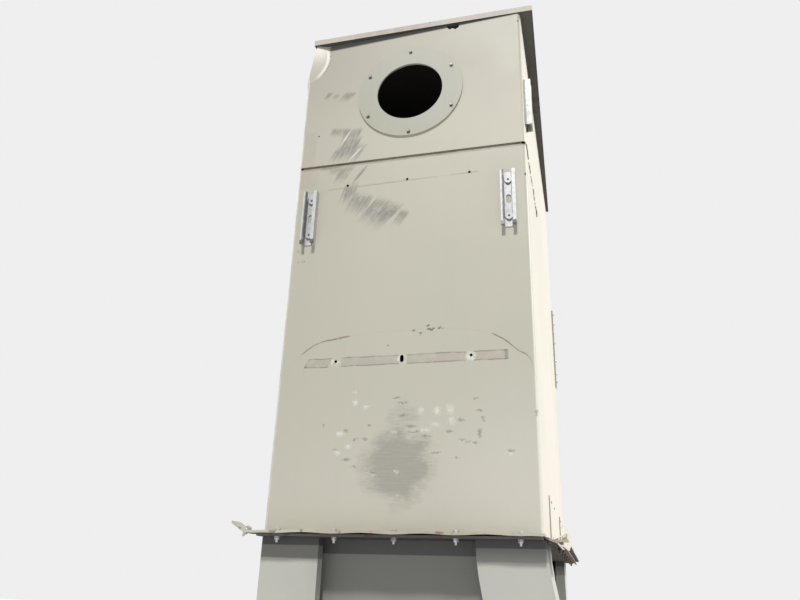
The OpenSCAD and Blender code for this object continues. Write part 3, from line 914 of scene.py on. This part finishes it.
    def seep(self, graph: FrontGraph, wobble: Signal) -> None:
        """Adds the faint brown line under the upper holes.

        Args:
            graph: Graph that gets the nodes.
            wobble: Unevenness of the line.
        """
        across = graph.across
        tilt = graph.up - (self.seep_up + (across - 109.0) * 0.014) + wobble * 6.0
        seep = abs(tilt).step(3.5, 0.6) * across.within(110.0, 545.0, 16.0)
        graph.lay(Tone.STAIN, seep * graph.noise(12.0, 3.0).step(0.42, 0.62) * 0.55)


@dataclass(frozen=True)
class Zinc:
    """Galvanised steel with spangle, dull patches and grime in its corners."""

    name: str
    base: Tone = Tone.ZINC
    shade: Tone = Tone.ZINC_DULL
    metallic: float = 0.30
    grime: float = 0.25

    def mark(self, graph: MaterialGraph) -> None:
        """Lays on the marks that only one kind of piece has."""

    def build(self) -> bpy.types.Material:
        """Makes the material.

        Returns:
            The finished material.
        """
        graph = MaterialGraph(self.name)
        spangle = graph.node("ShaderNodeTexVoronoi", {"feature": "F1"},
                             {"Vector": graph.place, "Scale": 130.0}, "Color")
        flake = graph.node("ShaderNodeSeparateColor", {}, {"Color": spangle}, 0)
        graph.colour = graph.mix(self.base, self.shade, flake * 0.35)
        dirt = graph.noise(60.0, 5.0, rough=0.65).step(0.50, 0.70) * self.grime
        graph.lay(Tone.STEEL_DARK, dirt)
        self.mark(graph)
        graph.rough = 0.34 + flake * 0.14 + dirt * 0.4
        return graph.surface(graph.bump(graph.noise(300.0, 3.0), 0.15, 0.0004), self.metallic)


@dataclass(frozen=True)
class FrontZinc(Zinc):
    """Galvanised steel of a front channel, whose middle stands at centre along X."""

    centre: float = 0.0
    foot_up: float = 0.813

    def mark(self, graph: MaterialGraph) -> None:
        """Paints shade on the left lip, in the corner beside the right lip and on the lips' lower
        ends.

        Args:
            graph: Graph that gets the nodes.
        """
        across = graph.x - self.centre
        proud = graph.y.step(Sizes.front_y - 0.012, Sizes.front_y - 0.016)
        lip = across.within(-0.0150, -0.0110, 0.0012) * proud
        corner = across.within(0.0085, 0.0112, 0.0010) * (1.0 - proud)
        foot_z = Sizes.base_z + self.foot_up
        foot = graph.z.step(foot_z, foot_z - 0.003) * proud
        # Patchiness of the painted shade.
        worn = graph.noise(60.0, 3.0).step(0.25, 0.50) * 0.4 + 0.6
        graph.lay(Tone.SPECK, lip.larger(corner).larger(foot) * worn * 0.85)


@dataclass(frozen=True)
class SideZinc(Zinc):
    """Galvanised steel of a side channel, with painted shadow where it meets the wall."""

    def mark(self, graph: MaterialGraph) -> None:
        """Paints shadow on the metal beside the wall."""
        near = abs(graph.x).step(Sizes.right_x + 0.006, Sizes.right_x + 0.0045)
        graph.lay(Tone.STEEL_DARK, near * 0.8)


class Finishes:
    """Every material of the object, each made once."""

    def __init__(self) -> None:
        """Builds the materials."""
        front = (Tone.CREAM_GREY, Tone.GREEN_GREY)
        cream = (Tone.CREAM, Tone.CREAM_SHADE)
        stand = (Tone.STAND, Tone.STAND_SHADE)
        self.upper = FrontPaint("upper_front_paint", *front, strokes=UPPER_STROKES,
                                bright=UPPER_BRIGHT).build()
        self.lower = LowerFrontPaint("lower_front_paint", *front, strokes=LOWER_STROKES).build()
        self.back = CoveredPaint("back_paint", *front).build()
        # The sides' cream is lighter than the front's paint, partly as painted light from the
        # brighter side.
        self.side = CoveredPaint("side_paint", *cream, runs=0.25).build()
        self.lap = EdgedPaint("lap_plate_paint", *cream, runs=0.2).build()
        self.roof = RustyPaint("roof_edge_paint", Tone.ROOF_EDGE, Tone.CREAM_SHADE,
                               roughness=0.62, rust=0.1).build()
        # Near black, as painted shade on the roof's underside.
        self.under = Paint("roof_underside_paint", Tone.SPECK, Tone.STEEL_DARK, 1.0).build()
        self.ring = Paint("ring_paint", Tone.RING, Tone.DULL_GREY, 0.45).build()
        self.flange = RustyPaint("rusty_flange_paint", Tone.CREAM_GREY, Tone.STAIN,
                                 rust=0.6).build()
        # Painted shade: on the rails' front faces, and all over the front rail, in the base
        # flange's shadow.
        self.rail = RustyPaint("rail_paint", *stand, rust=0.5, front_grime=0.9).build()
        self.grimy = RustyPaint("grimy_rail_paint", Tone.GRIMY_RAIL, Tone.GRIME,
                                rust=0.6).build()
        self.flap = FlapPaint("torn_flap_paint", Tone.CREAM, Tone.STAIN).build()
        # The stand and the hopper carry the painted shadow of the base flange.
        self.stand = BandedPaint("stand_paint", *stand, runs=0.15).build()
        self.hopper = BandedPaint("hopper_paint", Tone.HOPPER, Tone.STAND_SHADE, band=0.034,
                                  fade=0.200, weight=0.80, second=0.30, light=0.0).build()
        self.joint = Paint("joint_strip_paint", Tone.JOINT, Tone.DARK_RUST, 0.7).build()
        self.curl = Paint("torn_curl_paint", Tone.BRIGHT, Tone.CREAM, runs=0.2).build()
        self.dirt = Paint("dirt_line", Tone.SCUFF, Tone.STAIN, 0.7).build()
        self.zinc = Zinc("galvanised_channel").build()
        self.left_zinc = FrontZinc("left_channel_zinc",
                                   centre=Channels.middle(Side.LEFT)).build()
        self.right_zinc = FrontZinc("right_channel_zinc",
                                    centre=Channels.middle(Side.RIGHT)).build()
        # A darker copy of the channels' zinc: painted shade against the strong side light.
        self.side_zinc = SideZinc("side_channel_zinc", Tone.STAND).build()
        self.small = Zinc("small_bolt", Tone.ZINC_DULL, Tone.STEEL_DARK, 0.6, 0.4).build()
        self.bolt = Zinc("plated_bolt", Tone.ZINC, Tone.ZINC_DULL, 0.8, 0.5).build()
        self.dark = Zinc("dark_screw", Tone.STEEL_DARK, Tone.DARK_RUST, 0.4, 0.4).build()


class Shape:
    """Collects one joined mesh from turned, flat and tubular parts."""

    def __init__(self) -> None:
        """Starts an empty mesh."""
        self.mesh = bmesh.new()

    def _ring(self, at: Vector, turned: Matrix, radius: float, sides: int, height: float = 0.0,
              start: float = 0.0) -> list[bmesh.types.BMVert]:
        """Adds a ring of points.

        Args:
            at: Foot of the axis that the ring goes round.
            turned: Turn from the Z axis to that axis.
            radius: Radius of the ring.
            sides: Number of points.
            height: Distance of the ring from the foot.
            start: Angle of the first point, in radians.

        Returns:
            The points.
        """
        angles = [start + 2.0 * math.pi * k / sides for k in range(sides)]
        return [self.mesh.verts.new(at + turned @ Vector((radius * math.cos(angle),
                                                          radius * math.sin(angle), height)))
                for angle in angles]

    def _skin(self, rings: Sequence[list[bmesh.types.BMVert]]) -> None:
        """Joins rings of points into one closed skin.

        Args:
            rings: Rings with the same number of points, from foot to tip.
        """
        for low, high in zip(rings, rings[1:]):
            for k in range(len(low)):
                j = (k + 1) % len(low)
                self.mesh.faces.new((low[k], low[j], high[j], high[k]))
        self.mesh.faces.new(rings[-1])
        self.mesh.faces.new(list(reversed(rings[0])))

    def turned(self, at: Vector, axis: Vector, profile: Sequence[Plane], sides: int,
               turn: float = 0.0) -> None:
        """Adds a turned or prismatic part.

        Args:
            at: Foot of the part, where its axis starts.
            axis: Direction of the axis.
            profile: Radius and height of each ring from foot to tip, in metres.
            sides: Number of sides.
            turn: Angle of the first side, in degrees.
        """
        matrix = axis.normalized().to_track_quat("Z", "Y").to_matrix()
        self._skin([self._ring(at, matrix, radius, sides, height, math.radians(turn))
                    for radius, height in profile])

    def tube(self, path: Sequence[Vector], radii: Sequence[float], sides: int = 8) -> None:
        """Adds a closed tube along a path.

        Args:
            path: Points of the centre line.
            radii: Radius at each point.
            sides: Number of sides.
        """
        rings = []
        for k, (point, radius) in enumerate(zip(path, radii)):
            ahead = path[min(k + 1, len(path) - 1)] - path[max(k - 1, 0)]
            matrix = ahead.normalized().to_track_quat("Z", "Y").to_matrix()
            rings.append(self._ring(point, matrix, radius, sides))
        self._skin(rings)

    def slab(self, corners: Sequence[Vector], thick: Vector) -> None:
        """Adds a flat plate.

        Args:
            corners: Corners of one face, in order.
            thick: Step from that face to the other one.
        """
        near = [self.mesh.verts.new(c) for c in corners]
        far = [self.mesh.verts.new(c + thick) for c in corners]
        self.mesh.faces.new(near)
        self.mesh.faces.new(list(reversed(far)))
        for k in range(len(corners)):
            j = (k + 1) % len(corners)
            self.mesh.faces.new((near[j], near[k], far[k], far[j]))

    def finish(self, name: str, material: bpy.types.Material, slot: str,
               smooth: float = 35.0) -> None:
        """Turns the mesh into a piece of the object.

        Args:
            name: Name of the piece.
            material: Its finish.
            slot: Not used.
            smooth: Largest angle that is shaded smooth, in degrees.
        """
        bmesh.ops.recalc_face_normals(self.mesh, faces=self.mesh.faces)
        data = bpy.data.meshes.new(name)
        self.mesh.to_mesh(data)
        self.mesh.free()
        data.materials.append(material)
        data.shade_smooth()
        data.set_sharp_from_angle(angle=math.radians(smooth))
        piece = bpy.data.objects.new(name, data)
        bpy.context.scene.collection.objects.link(piece)
        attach(piece, BODY)
        LOG.info("piece %s: %d faces", name, len(data.polygons))


class Head(Enum):
    """Kinds of fastener heads."""

    HEX = "hex"
    NUT = "nut"
    RIVET = "rivet"


@dataclass(frozen=True)
class Fastener:
    """One kind of fastener, in millimetres."""

    head: Head
    width: float
    high: float
    washer: float = 0.0
    washer_t: float = 1.4
    shank: float = 0.0

    def add(self, shape: Shape, at: Vector, axis: Vector, turn: float = 0.0) -> None:
        """Adds the fastener with its foot on a face.

        Args:
            shape: Mesh that gets it.
            at: Centre of its foot.
            axis: Direction away from the face.
            turn: Angle about its axis, in degrees.
        """
        base = 0.0
        if self.washer:
            r, t = self.washer / 2 * MM, self.washer_t * MM
            shape.turned(at, axis, ((r, 0.0), (r, t * 0.7), (r - 0.3 * MM, t)), 24)
            base = t
        foot = at + axis.normalized() * base
        half, high = self.width / 2 * MM, self.high * MM
        if self.head is Head.RIVET:
            rise = [(math.cos(a), math.sin(a)) for a in (0.0, 0.45, 0.85, 1.2)]
            shape.turned(foot, axis, [(half * c, high * s) for c, s in rise], 12, turn)
        else:
            corner = half / math.cos(math.pi / 6)
            shape.turned(foot, axis, ((corner * 0.96, 0.0), (corner, high * 0.1),
                                      (corner, high * 0.82), (corner * 0.86, high)), 6, turn)
        if self.head is Head.NUT:
            shape.turned(foot, axis, ((half * 0.55, 0.0), (half * 0.55, high + self.shank * MM),
                                      (half * 0.45, high + (self.shank + 0.8) * MM)), 12)


def dress(names: Iterable[str], material: bpy.types.Material) -> None:
    """Gives CAD nodes their finish.

    Args:
        names: Names of the nodes.
        material: Finish that they get.
    """
    for name in names:
        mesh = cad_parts[name].data
        mesh.materials.clear()
        mesh.materials.append(material)
        LOG.info("dressed %s", name)


def weld(shape: Shape, start: Vector, end: Vector, radius: float, seed: int) -> None:
    """Adds a rippled weld bead.

    Args:
        shape: Mesh that gets it.
        start: Start of the bead.
        end: End of the bead.
        radius: Mean radius in metres.
        seed: Seed of its unevenness.
    """
    draw = random.Random(seed)
    count = max(4, int((end - start).length / 0.012))
    path = [start.lerp(end, k / count) for k in range(count + 1)]
    shape.tube(path, [radius * draw.uniform(0.75, 1.15) for _ in path], 6)


@dataclass
class Assembly:
    """A sub-assembly of the object. Its sizes are in millimetres, apart from names with _m."""

    finishes: Finishes

    def build(self) -> None:
        """Dresses the solids and adds the small hardware."""
        raise NotImplementedError


@dataclass
class Cabinet(Assembly):
    """The sheet steel housing with its small hardware."""

    rivet: Fastener = Fastener(Head.RIVET, 5.5, 1.6)
    stray_holes: tuple[Plane, ...] = ((683.0, 1516.0), (685.0, 963.0), (56.0, 1182.0))
    strip_half: float = 14.0
    strip_inset: float = 12.0
    strip_t: float = 2.0
    strip_gap: float = 4.0
    crease_from: float = -50.0
    crease_sweep: float = 74.0
    crease_steps: int = 24
    seam: tuple[Plane, ...] = ((6.0, 1066.0), (80.0, 1052.0), (160.0, 1054.0), (240.0, 1059.0),
                               (310.0, 1046.0), (374.0, 1052.0), (378.0, 1036.0))
    seam_end: tuple[Plane, ...] = ((352.0, 1051.0), (372.0, 1048.0), (384.0, 1036.0))
    seam_end_radii: tuple[float, ...] = (2.0, 4.2, 3.0)

    def build(self) -> None:
        """Dresses the sheets and adds their small hardware."""
        dress(("front_lower_panel",), self.finishes.lower)
        dress(("front_upper_panel",), self.finishes.upper)
        dress(("back_lower_panel", "back_upper_panel"), self.finishes.back)
        dress(("left_side_panel", "right_side_panel"), self.finishes.side)
        shape = Shape()
        for across, up in self.stray_holes:
            self.rivet.add(shape, front_point(across, up), FORWARD)
        shape.finish("front_rivets", self.finishes.dark, "cabinet_paint")
        self.joint_strip()
        self.crease()
        self.side_seam()

    def joint_strip(self) -> None:
        """Adds the dark strip that shows through the level joints."""
        shape = Shape()
        middle = (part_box("front_lower_panel")[1].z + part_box("front_upper_panel")[0].z) / 2
        low, high = middle - self.strip_half * MM, middle + self.strip_half * MM
        left, right = Sizes.left_x + self.strip_inset * MM, Sizes.right_x - self.strip_inset * MM
        gap, thick = self.strip_gap * MM, self.strip_t * MM
        for y in (Sizes.front_y + gap, Sizes.back_y - gap - thick):
            corners = [Vector((x, y, z)) for x, z in ((left, low), (right, low), (right, high),
                                                      (left, high))]
            shape.slab(corners, Vector((0, thick, 0)))
        shape.finish("joint_strips", self.finishes.joint, "cabinet_paint")

    def crease(self) -> None:
        """Adds the raised ridge round the crushed corner."""
        shape = Shape()
        path, radii = [], []
        count = self.crease_steps
        for k in range(count + 1):
            angle = math.radians(self.crease_from + self.crease_sweep * k / count)
            path.append(front_point(SWELLING[0] + SWELLING_RADIUS * math.cos(angle),
                                    SWELLING[1] + SWELLING_RADIUS * math.sin(angle), -0.4))
            radii.append((0.6 + 2.2 * math.sin(math.pi * (k + 1) / (count + 1))) * MM)
        shape.tube(path, radii, 10)
        # The lighter side paint paints a highlight along the ridge.
        shape.finish("corner_crease", self.finishes.side, "cabinet_paint", 60.0)

    def side_seam(self) -> None:
        """Adds the cracked end of the level joint on the right side."""
        shape = Shape()
        draw = random.Random(5)
        for first, last in zip(self.seam, self.seam[1:]):
            low, high = side_point(*first), side_point(*last)
            path = [low.lerp(high, k / 6) for k in range(6)]
            shape.tube(path, [draw.uniform(1.0, 3.2) * MM for _ in path], 6)
        shape.tube([side_point(deep, up) for deep, up in self.seam_end],
                   [radius * MM for radius in self.seam_end_radii], 8)
        shape.finish("side_seam_breaks", self.finishes.dark, "side_paint")


@dataclass
class Inlet(Assembly):
    """Bolted ring round the inlet."""

    bolt: Fastener = Fastener(Head.HEX, 7.5, 4.0)
    centre: Plane = (345.0, 1306.0)
    circle: float = 301.0
    count: int = 6
    bolt_turn: float = 17.0
    stain_m: tuple[Plane, ...] = ((0.0058, 0.0), (0.0052, 0.0006))
    stain_shift_m: Point = (0.0008, 0.0, -0.0046)

    def build(self) -> None:
        """Dresses the ring and adds its bolts, with a dark disc below each as painted shadow."""
        dress(("inlet_ring",), self.finishes.ring)
        shape, stains = Shape(), Shape()
        face = (Sizes.front_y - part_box("inlet_ring")[0].y) / MM
        for k in range(self.count):
            angle = 2.0 * math.pi * k / self.count
            at = front_point(self.centre[0] + math.sin(angle) * self.circle / 2,
                             self.centre[1] + math.cos(angle) * self.circle / 2, face)
            self.bolt.add(shape, at, FORWARD, self.bolt_turn * k)
            # A dark disc below each bolt paints its shadow.
            stains.turned(at + Vector(self.stain_shift_m), FORWARD, self.stain_m, 20)
        shape.finish("inlet_ring_bolts", self.finishes.small, "ring_paint")
        stains.finish("inlet_ring_stains", self.finishes.dark, "ring_paint")


@dataclass
class Roof(Assembly):
    """Knocked roof cap over a dark closing sheet."""

    def build(self) -> None:
        """Dresses the cap and the sheet beneath it."""
        dress(("roof_cap",), self.finishes.roof)
        dress(("roof_soffit",), self.finishes.under)


@dataclass
class Channels(Assembly):
    """Short slotted channels with the bolts that hold them."""

    slots: int = 3
    bolt_up: float = 4.0
    web_t: float = 2.5
    washer_m: tuple[Plane, ...] = ((0.0116, 0.0), (0.0116, 0.0022), (0.0106, 0.0030))
    stud_m: tuple[Plane, ...] = ((0.0034, 0.0), (0.0030, 0.0010))
    stud_out_m: float = 0.0029

    def build(self) -> None:
        """Dresses the channels and adds a bolt in their outer slots."""
        finishes = {"front_strut_left": self.finishes.left_zinc,
                    "front_strut_right": self.finishes.right_zinc,
                    "side_strut_left": self.finishes.side_zinc,
                    "side_strut_right": self.finishes.side_zinc}
        shape, studs = Shape(), Shape()
        for name, finish in finishes.items():
            dress((name,), finish)
            low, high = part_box(name)
            centre = (low + high) / 2
            axis, web = self.facing(name, low, high)
            for k in (0, self.slots - 1):
                z = low.z + (high.z - low.z) * (k + 0.5) / self.slots + self.bolt_up * MM
                at = Vector((web.x if axis.x else centre.x, web.y if axis.y else centre.y, z))
                shape.turned(at, axis, self.washer_m, 32)
                studs.turned(at + axis * self.stud_out_m, axis, self.stud_m, 20)
        shape.finish("channel_bolts", self.finishes.zinc, "galvanised_channel")
        studs.finish("channel_bolt_middles", self.finishes.dark, "galvanised_channel")

    @staticmethod
    def middle(side: Side) -> float:
        """Place along X of the middle of the front channel on one side."""
        low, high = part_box(f"front_strut_{side.name.lower()}")
        return (low.x + high.x) / 2

    def facing(self, name: str, low: Vector, high: Vector) -> tuple[Vector, Vector]:
        """Finds which way a channel opens.

        Args:
            name: Name of the channel's node.
            low: Lowest corner of its box.
            high: Highest corner of its box.

        Returns:
            The direction of its open side, and a point on the inside of its web.
        """
        web = self.web_t * MM
        if name.startswith("front"):
            return FORWARD, Vector((0, high.y - web, 0))
        if name.endswith("left"):
            return Vector((-1, 0, 0)), Vector((high.x - web, 0, 0))
        return Vector((1, 0, 0)), Vector((low.x + web, 0, 0))


@dataclass
class BaseFlange(Assembly):
    """Bolted flange between the cabinet and its stand."""

    bolt: Fastener = Fastener(Head.HEX, 13.0, 5.5, washer=20.0)
    nut: Fastener = Fastener(Head.NUT, 11.0, 6.0, washer=15.0, shank=6.0)
    pitch_x_m: float = 0.14775
    pitch_y_m: float = 0.147
    line_m: float = 0.024
    bent_lean: Point = (0.521, 0.0, 0.853)
    bent_bolt: Point = (-36.0, 11.0, 12.0)
    bent_nut: Point = (-41.0, 6.5, 12.0)
    curl_widths: Plane = (26.0, 22.0)
    curl_t_m: float = 0.0022
    scrap_t_m: float = 0.0025
    curl_path: tuple[Point, ...] = (
        (2.0, 126.0, 6.0), (18.0, 124.0, 8.0), (34.0, 122.0, 14.0), (45.0, 121.0, 22.0),
        (47.0, 122.0, 28.0), (43.0, 124.0, 29.0))
    scraps: tuple[tuple[float, tuple[Plane, ...]], ...] = (
        (150.0, ((34.0, 4.0), (34.0, 24.0), (40.0, 28.0), (47.0, 22.0), (55.0, 20.0),
                 (56.0, 14.0), (48.0, 7.0), (42.0, 2.0))),
        (126.0, ((26.0, 3.0), (57.0, -1.0), (55.0, -9.0), (51.0, -20.0), (46.0, -18.0),
                 (38.0, -11.0), (27.0, -7.0))),
        (900.0, ((0.5, 86.0), (0.5, 108.0), (9.0, 114.0), (13.0, 108.0), (6.0, 92.0))))

    def build(self) -> None:
        """Dresses the flanges and adds their bolts and nuts."""
        dress(("front_flange", "back_flange", "left_flange", "right_flange"),
              self.finishes.flange)
        dress(("torn_corner_flap",), self.finishes.flap)
        shape, dull = Shape(), Shape()
        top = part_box("right_flange")[1].z
        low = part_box("right_rail")[0].z
        places = [(k * self.pitch_x_m, y) for k in range(-2, 3)
                  for y in (Sizes.front_y - self.line_m, Sizes.back_y + self.line_m)]
        places += [(x, (k - 3.5) * self.pitch_y_m) for k in range(1, 8)
                   for x in (Sizes.left_x - self.line_m, Sizes.right_x + self.line_m)]
        draw = random.Random(11)
        for x, y in places:
            turn = draw.uniform(0, 60)
            beside = x > Sizes.right_x or x < Sizes.left_x
            self.bolt.add(shape, Vector((x, y, top)), Vector((0, 0, 1)), turn)
            self.nut.add(dull if beside else shape, Vector((x, y, low)), Vector((0, 0, -1)),
                         turn)
        dull.finish("side_rail_nuts", self.finishes.dark, "rusty_flange")
        lean = Vector(self.bent_lean)
        self.bolt.add(shape, front_point(*self.bent_bolt), lean)
        self.nut.add(shape, front_point(*self.bent_nut), -lean)
        shape.finish("base_flange_bolts", self.finishes.bolt, "rusty_flange")
        self.curl()

    def curl(self) -> None:
        """Adds the strips of metal that curl up where the right flange tore off."""
        shape = Shape()
        near, far = self.curl_widths
        for (out, deep, up), (next_out, next_deep, next_up) in zip(self.curl_path,
                                                                   self.curl_path[1:]):
            corners = [side_point(deep, up, out), side_point(next_deep, next_up, next_out),
                       side_point(next_deep + far, next_up, next_out),
                       side_point(deep + near, up, out)]
            shape.slab(corners, Vector((0.0, 0.0, -self.curl_t_m)))
        for deep, outline in self.scraps:
            shape.slab([side_point(deep, up, out) for out, up in outline],
                       Vector((0.0, self.scrap_t_m, 0.0)))
        shape.finish("torn_flange_curl", self.finishes.curl, "rusty_flange", 50.0)


@dataclass
class SidePlates(Assembly):
    """Riveted plates low on the sides and the screwed strip on the rear edge."""

    rivet: Fastener = Fastener(Head.RIVET, 7.0, 2.0)
    screw: Fastener = Fastener(Head.HEX, 8.0, 4.0, washer=13.0, washer_t=1.0)
    rivets: tuple[float, ...] = (341.0, 496.0, 907.0, 1081.0)
    rivet_rows: tuple[float, ...] = (116.0, 22.0)
    plate_t: float = 3.0
    plates: tuple[float, ...] = (280.0, 862.0)
    dirt: tuple[Plane, ...] = ((3.2, 0.0), (0.0, 0.0), (0.0, 121.0), (2.2, 121.0))
    dirt_t_m: float = 0.0008
    screws: tuple[float, ...] = (1010.0, 965.0, 924.0, 878.0, 799.0, 741.0, 706.0)

    def build(self) -> None:
        """Dresses the plates and the strip and adds their fasteners, and the dark line beside the
        plates, which is dirt and painted shadow.
        """
        dress(("left_lap_plates", "right_lap_plates", "rear_edge_strip"), self.finishes.lap)
        rivets, dirt, screws = Shape(), Shape(), Shape()
        for side in Side:
            outward = Vector((side.value, 0, 0))
            for deep in self.rivets:
                for up in self.rivet_rows:
                    self.rivet.add(rivets, side_point(deep, up, self.plate_t, side), outward)
            for start in self.plates:
                # Dark line in front of each plate: dirt and painted shadow.
                corners = [side_point(start - back, up, 0.0, side) for back, up in self.dirt]
                dirt.slab(corners, outward * self.dirt_t_m)
        low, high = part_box("rear_edge_strip")
        for up in self.screws:
            at = Vector((high.x, (low.y + high.y) / 2, Sizes.base_z + up * MM))
            self.screw.add(screws, at, Vector((1, 0, 0)), up)
        rivets.finish("side_plate_rivets", self.finishes.dark, "side_paint")
        dirt.finish("side_plate_dirt", self.finishes.dirt, "side_paint")
        screws.finish("rear_strip_screws", self.finishes.bolt, "side_paint")


@dataclass
class Stand(Assembly):
    """Rails, folded legs and foot plates."""

    corners: tuple[str, ...] = ("front_left", "front_right", "back_left", "back_right")
    weld_length_m: float = 0.145
    weld_radius_m: float = 0.0035

    def build(self) -> None:
        """Dresses the stand and welds its feet."""
        dress([f"{corner}_{part}" for part in ("leg", "foot") for corner in self.corners],
              self.finishes.stand)
        dress(("back_rail", "left_rail", "right_rail"), self.finishes.rail)
        dress(("front_rail",), self.finishes.grimy)
        shape = Shape()
        for seed, corner in enumerate(self.corners):
            foot_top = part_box(f"{corner}_foot")[1].z
            left, front = "left" in corner, "front" in corner
            start = Vector((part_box(f"{corner}_leg")[0].x if left else Sizes.right_x,
                            Sizes.front_y if front else Sizes.back_y, foot_top))
            across = Vector((self.weld_length_m if left else -self.weld_length_m, 0, 0))
            deep = Vector((0, self.weld_length_m if front else -self.weld_length_m, 0))
            weld(shape, start, start + across, self.weld_radius_m, seed)
            weld(shape, start, start + deep, self.weld_radius_m, seed + 9)
        shape.finish("foot_welds", self.finishes.stand, "stand_paint")


@dataclass
class Hopper(Assembly):
    """Hopper sheets, mouth plate and outlet."""

    def build(self) -> None:
        """Dresses the hopper."""
        dress([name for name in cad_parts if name.startswith("hopper_")],
              self.finishes.hopper)


@dataclass(frozen=True)
class Lamp:
    """One distant soft lamp, with its softness in degrees."""

    name: str
    toward: Point
    softness: float
    strength: float

    def build(self) -> None:
        """Adds the lamp."""
        data = bpy.data.lights.new(self.name, "SUN")
        data.angle = math.radians(self.softness)
        data.energy = self.strength
        lamp = bpy.data.objects.new(self.name, data)
        toward = Vector(self.toward)
        lamp.location = toward * 8.0
        lamp.rotation_euler = (-toward).to_track_quat("-Z", "Y").to_euler()
        bpy.context.scene.collection.objects.link(lamp)


@dataclass
class Studio:
    """Floor, lights, background and camera."""

    eye: Point = (0.4501, -2.3122, 1.4869)
    focal_px: float = 696.83
    yaw: float = -15.250
    pitch: float = 22.414
    roll: float = 1.862
    width_px: float = 800.0
    sensor: float = 36.0
    floor_half: float = 40.0
    background: Colour = (0.86, 0.86, 0.86)
    skylight: Colour = (0.93, 0.96, 1.0)
    skylight_strength: float = 0.20
    lamps: tuple[Lamp, ...] = (
        Lamp("key_light", (0.03, -0.62, 0.78), 5.0, 2.50),
        Lamp("side_light", (0.85, 0.25, 0.45), 12.0, 2.70),
        Lamp("back_light", (-0.62, 0.60, 0.50), 20.0, 1.0),
    )

    def build(self) -> None:
        """Builds the stage."""
        self.camera()
        self.floor()
        self.world()
        for lamp in self.lamps:
            lamp.build()

    def camera(self) -> None:
        """Places the camera at the solved viewpoint."""
        yaw, pitch, roll = (math.radians(a) for a in (self.yaw, self.pitch, self.roll))
        ahead = Vector((math.sin(yaw) * math.cos(pitch), math.cos(yaw) * math.cos(pitch),
                        math.sin(pitch)))
        level = Vector((math.cos(yaw), -math.sin(yaw), 0.0))
        upward = level.cross(ahead)
        right = math.cos(roll) * level + math.sin(roll) * upward
        top = -math.sin(roll) * level + math.cos(roll) * upward
        data = bpy.data.cameras.new("camera")
        data.sensor_width = self.sensor
        data.lens = self.focal_px * self.sensor / self.width_px
        data.clip_end = 200.0
        camera = bpy.data.objects.new("camera", data)
        columns = Matrix((right, top, -ahead)).transposed()
        camera.matrix_world = Matrix.Translation(Vector(self.eye)) @ columns.to_4x4()
        bpy.context.scene.collection.objects.link(camera)
        bpy.context.scene.camera = camera

    def floor(self) -> None:
        """Adds the pale floor."""
        data = bpy.data.meshes.new("floor")
        half = self.floor_half
        data.from_pydata([(-half, -half, 0), (half, -half, 0), (half, half, 0), (-half, half, 0)],
                         [], [(0, 1, 2, 3)])
        graph = MaterialGraph("pale_floor")
        graph.colour = graph.mix((0.64, 0.64, 0.64), (0.60, 0.60, 0.595), graph.noise(1.5, 2.0))
        graph.rough = 0.8
        data.materials.append(graph.surface())
        floor = bpy.data.objects.new("floor", data)
        bpy.context.scene.collection.objects.link(floor)

    def world(self) -> None:
        """Sets soft light from all round, and a pale background that glossy pieces mirror."""
        world = bpy.data.worlds.new("studio")
        bpy.context.scene.world = world
        graph = Graph(world)
        camera = graph.node("ShaderNodeLightPath", {}, {}, "Is Camera Ray")
        seen = camera.larger(camera.output("Is Glossy Ray"))
        seen = seen.larger(camera.output("Is Transmission Ray"))
        light = graph.node("ShaderNodeBackground", {},
                           {"Color": self.skylight, "Strength": self.skylight_strength})
        pale = graph.node("ShaderNodeBackground", {}, {"Color": self.background, "Strength": 1.0})
        both = graph.node("ShaderNodeMixShader", {}, {0: seen, 1: light, 2: pale})
        graph.end("ShaderNodeOutputWorld", both)


def main() -> None:
    """Builds the stage, and builds and dresses the whole object."""
    logging.basicConfig(level=logging.INFO, format="%(message)s")
    bpy.context.scene.view_settings.view_transform = "Standard"
    Studio().build()
    finishes = Finishes()
    for kind in (Cabinet, Inlet, Roof, Channels, BaseFlange, SidePlates, Stand, Hopper):
        kind(finishes).build()
        LOG.info("built %s", kind.__name__)


if __name__ == "__main__":
    main()
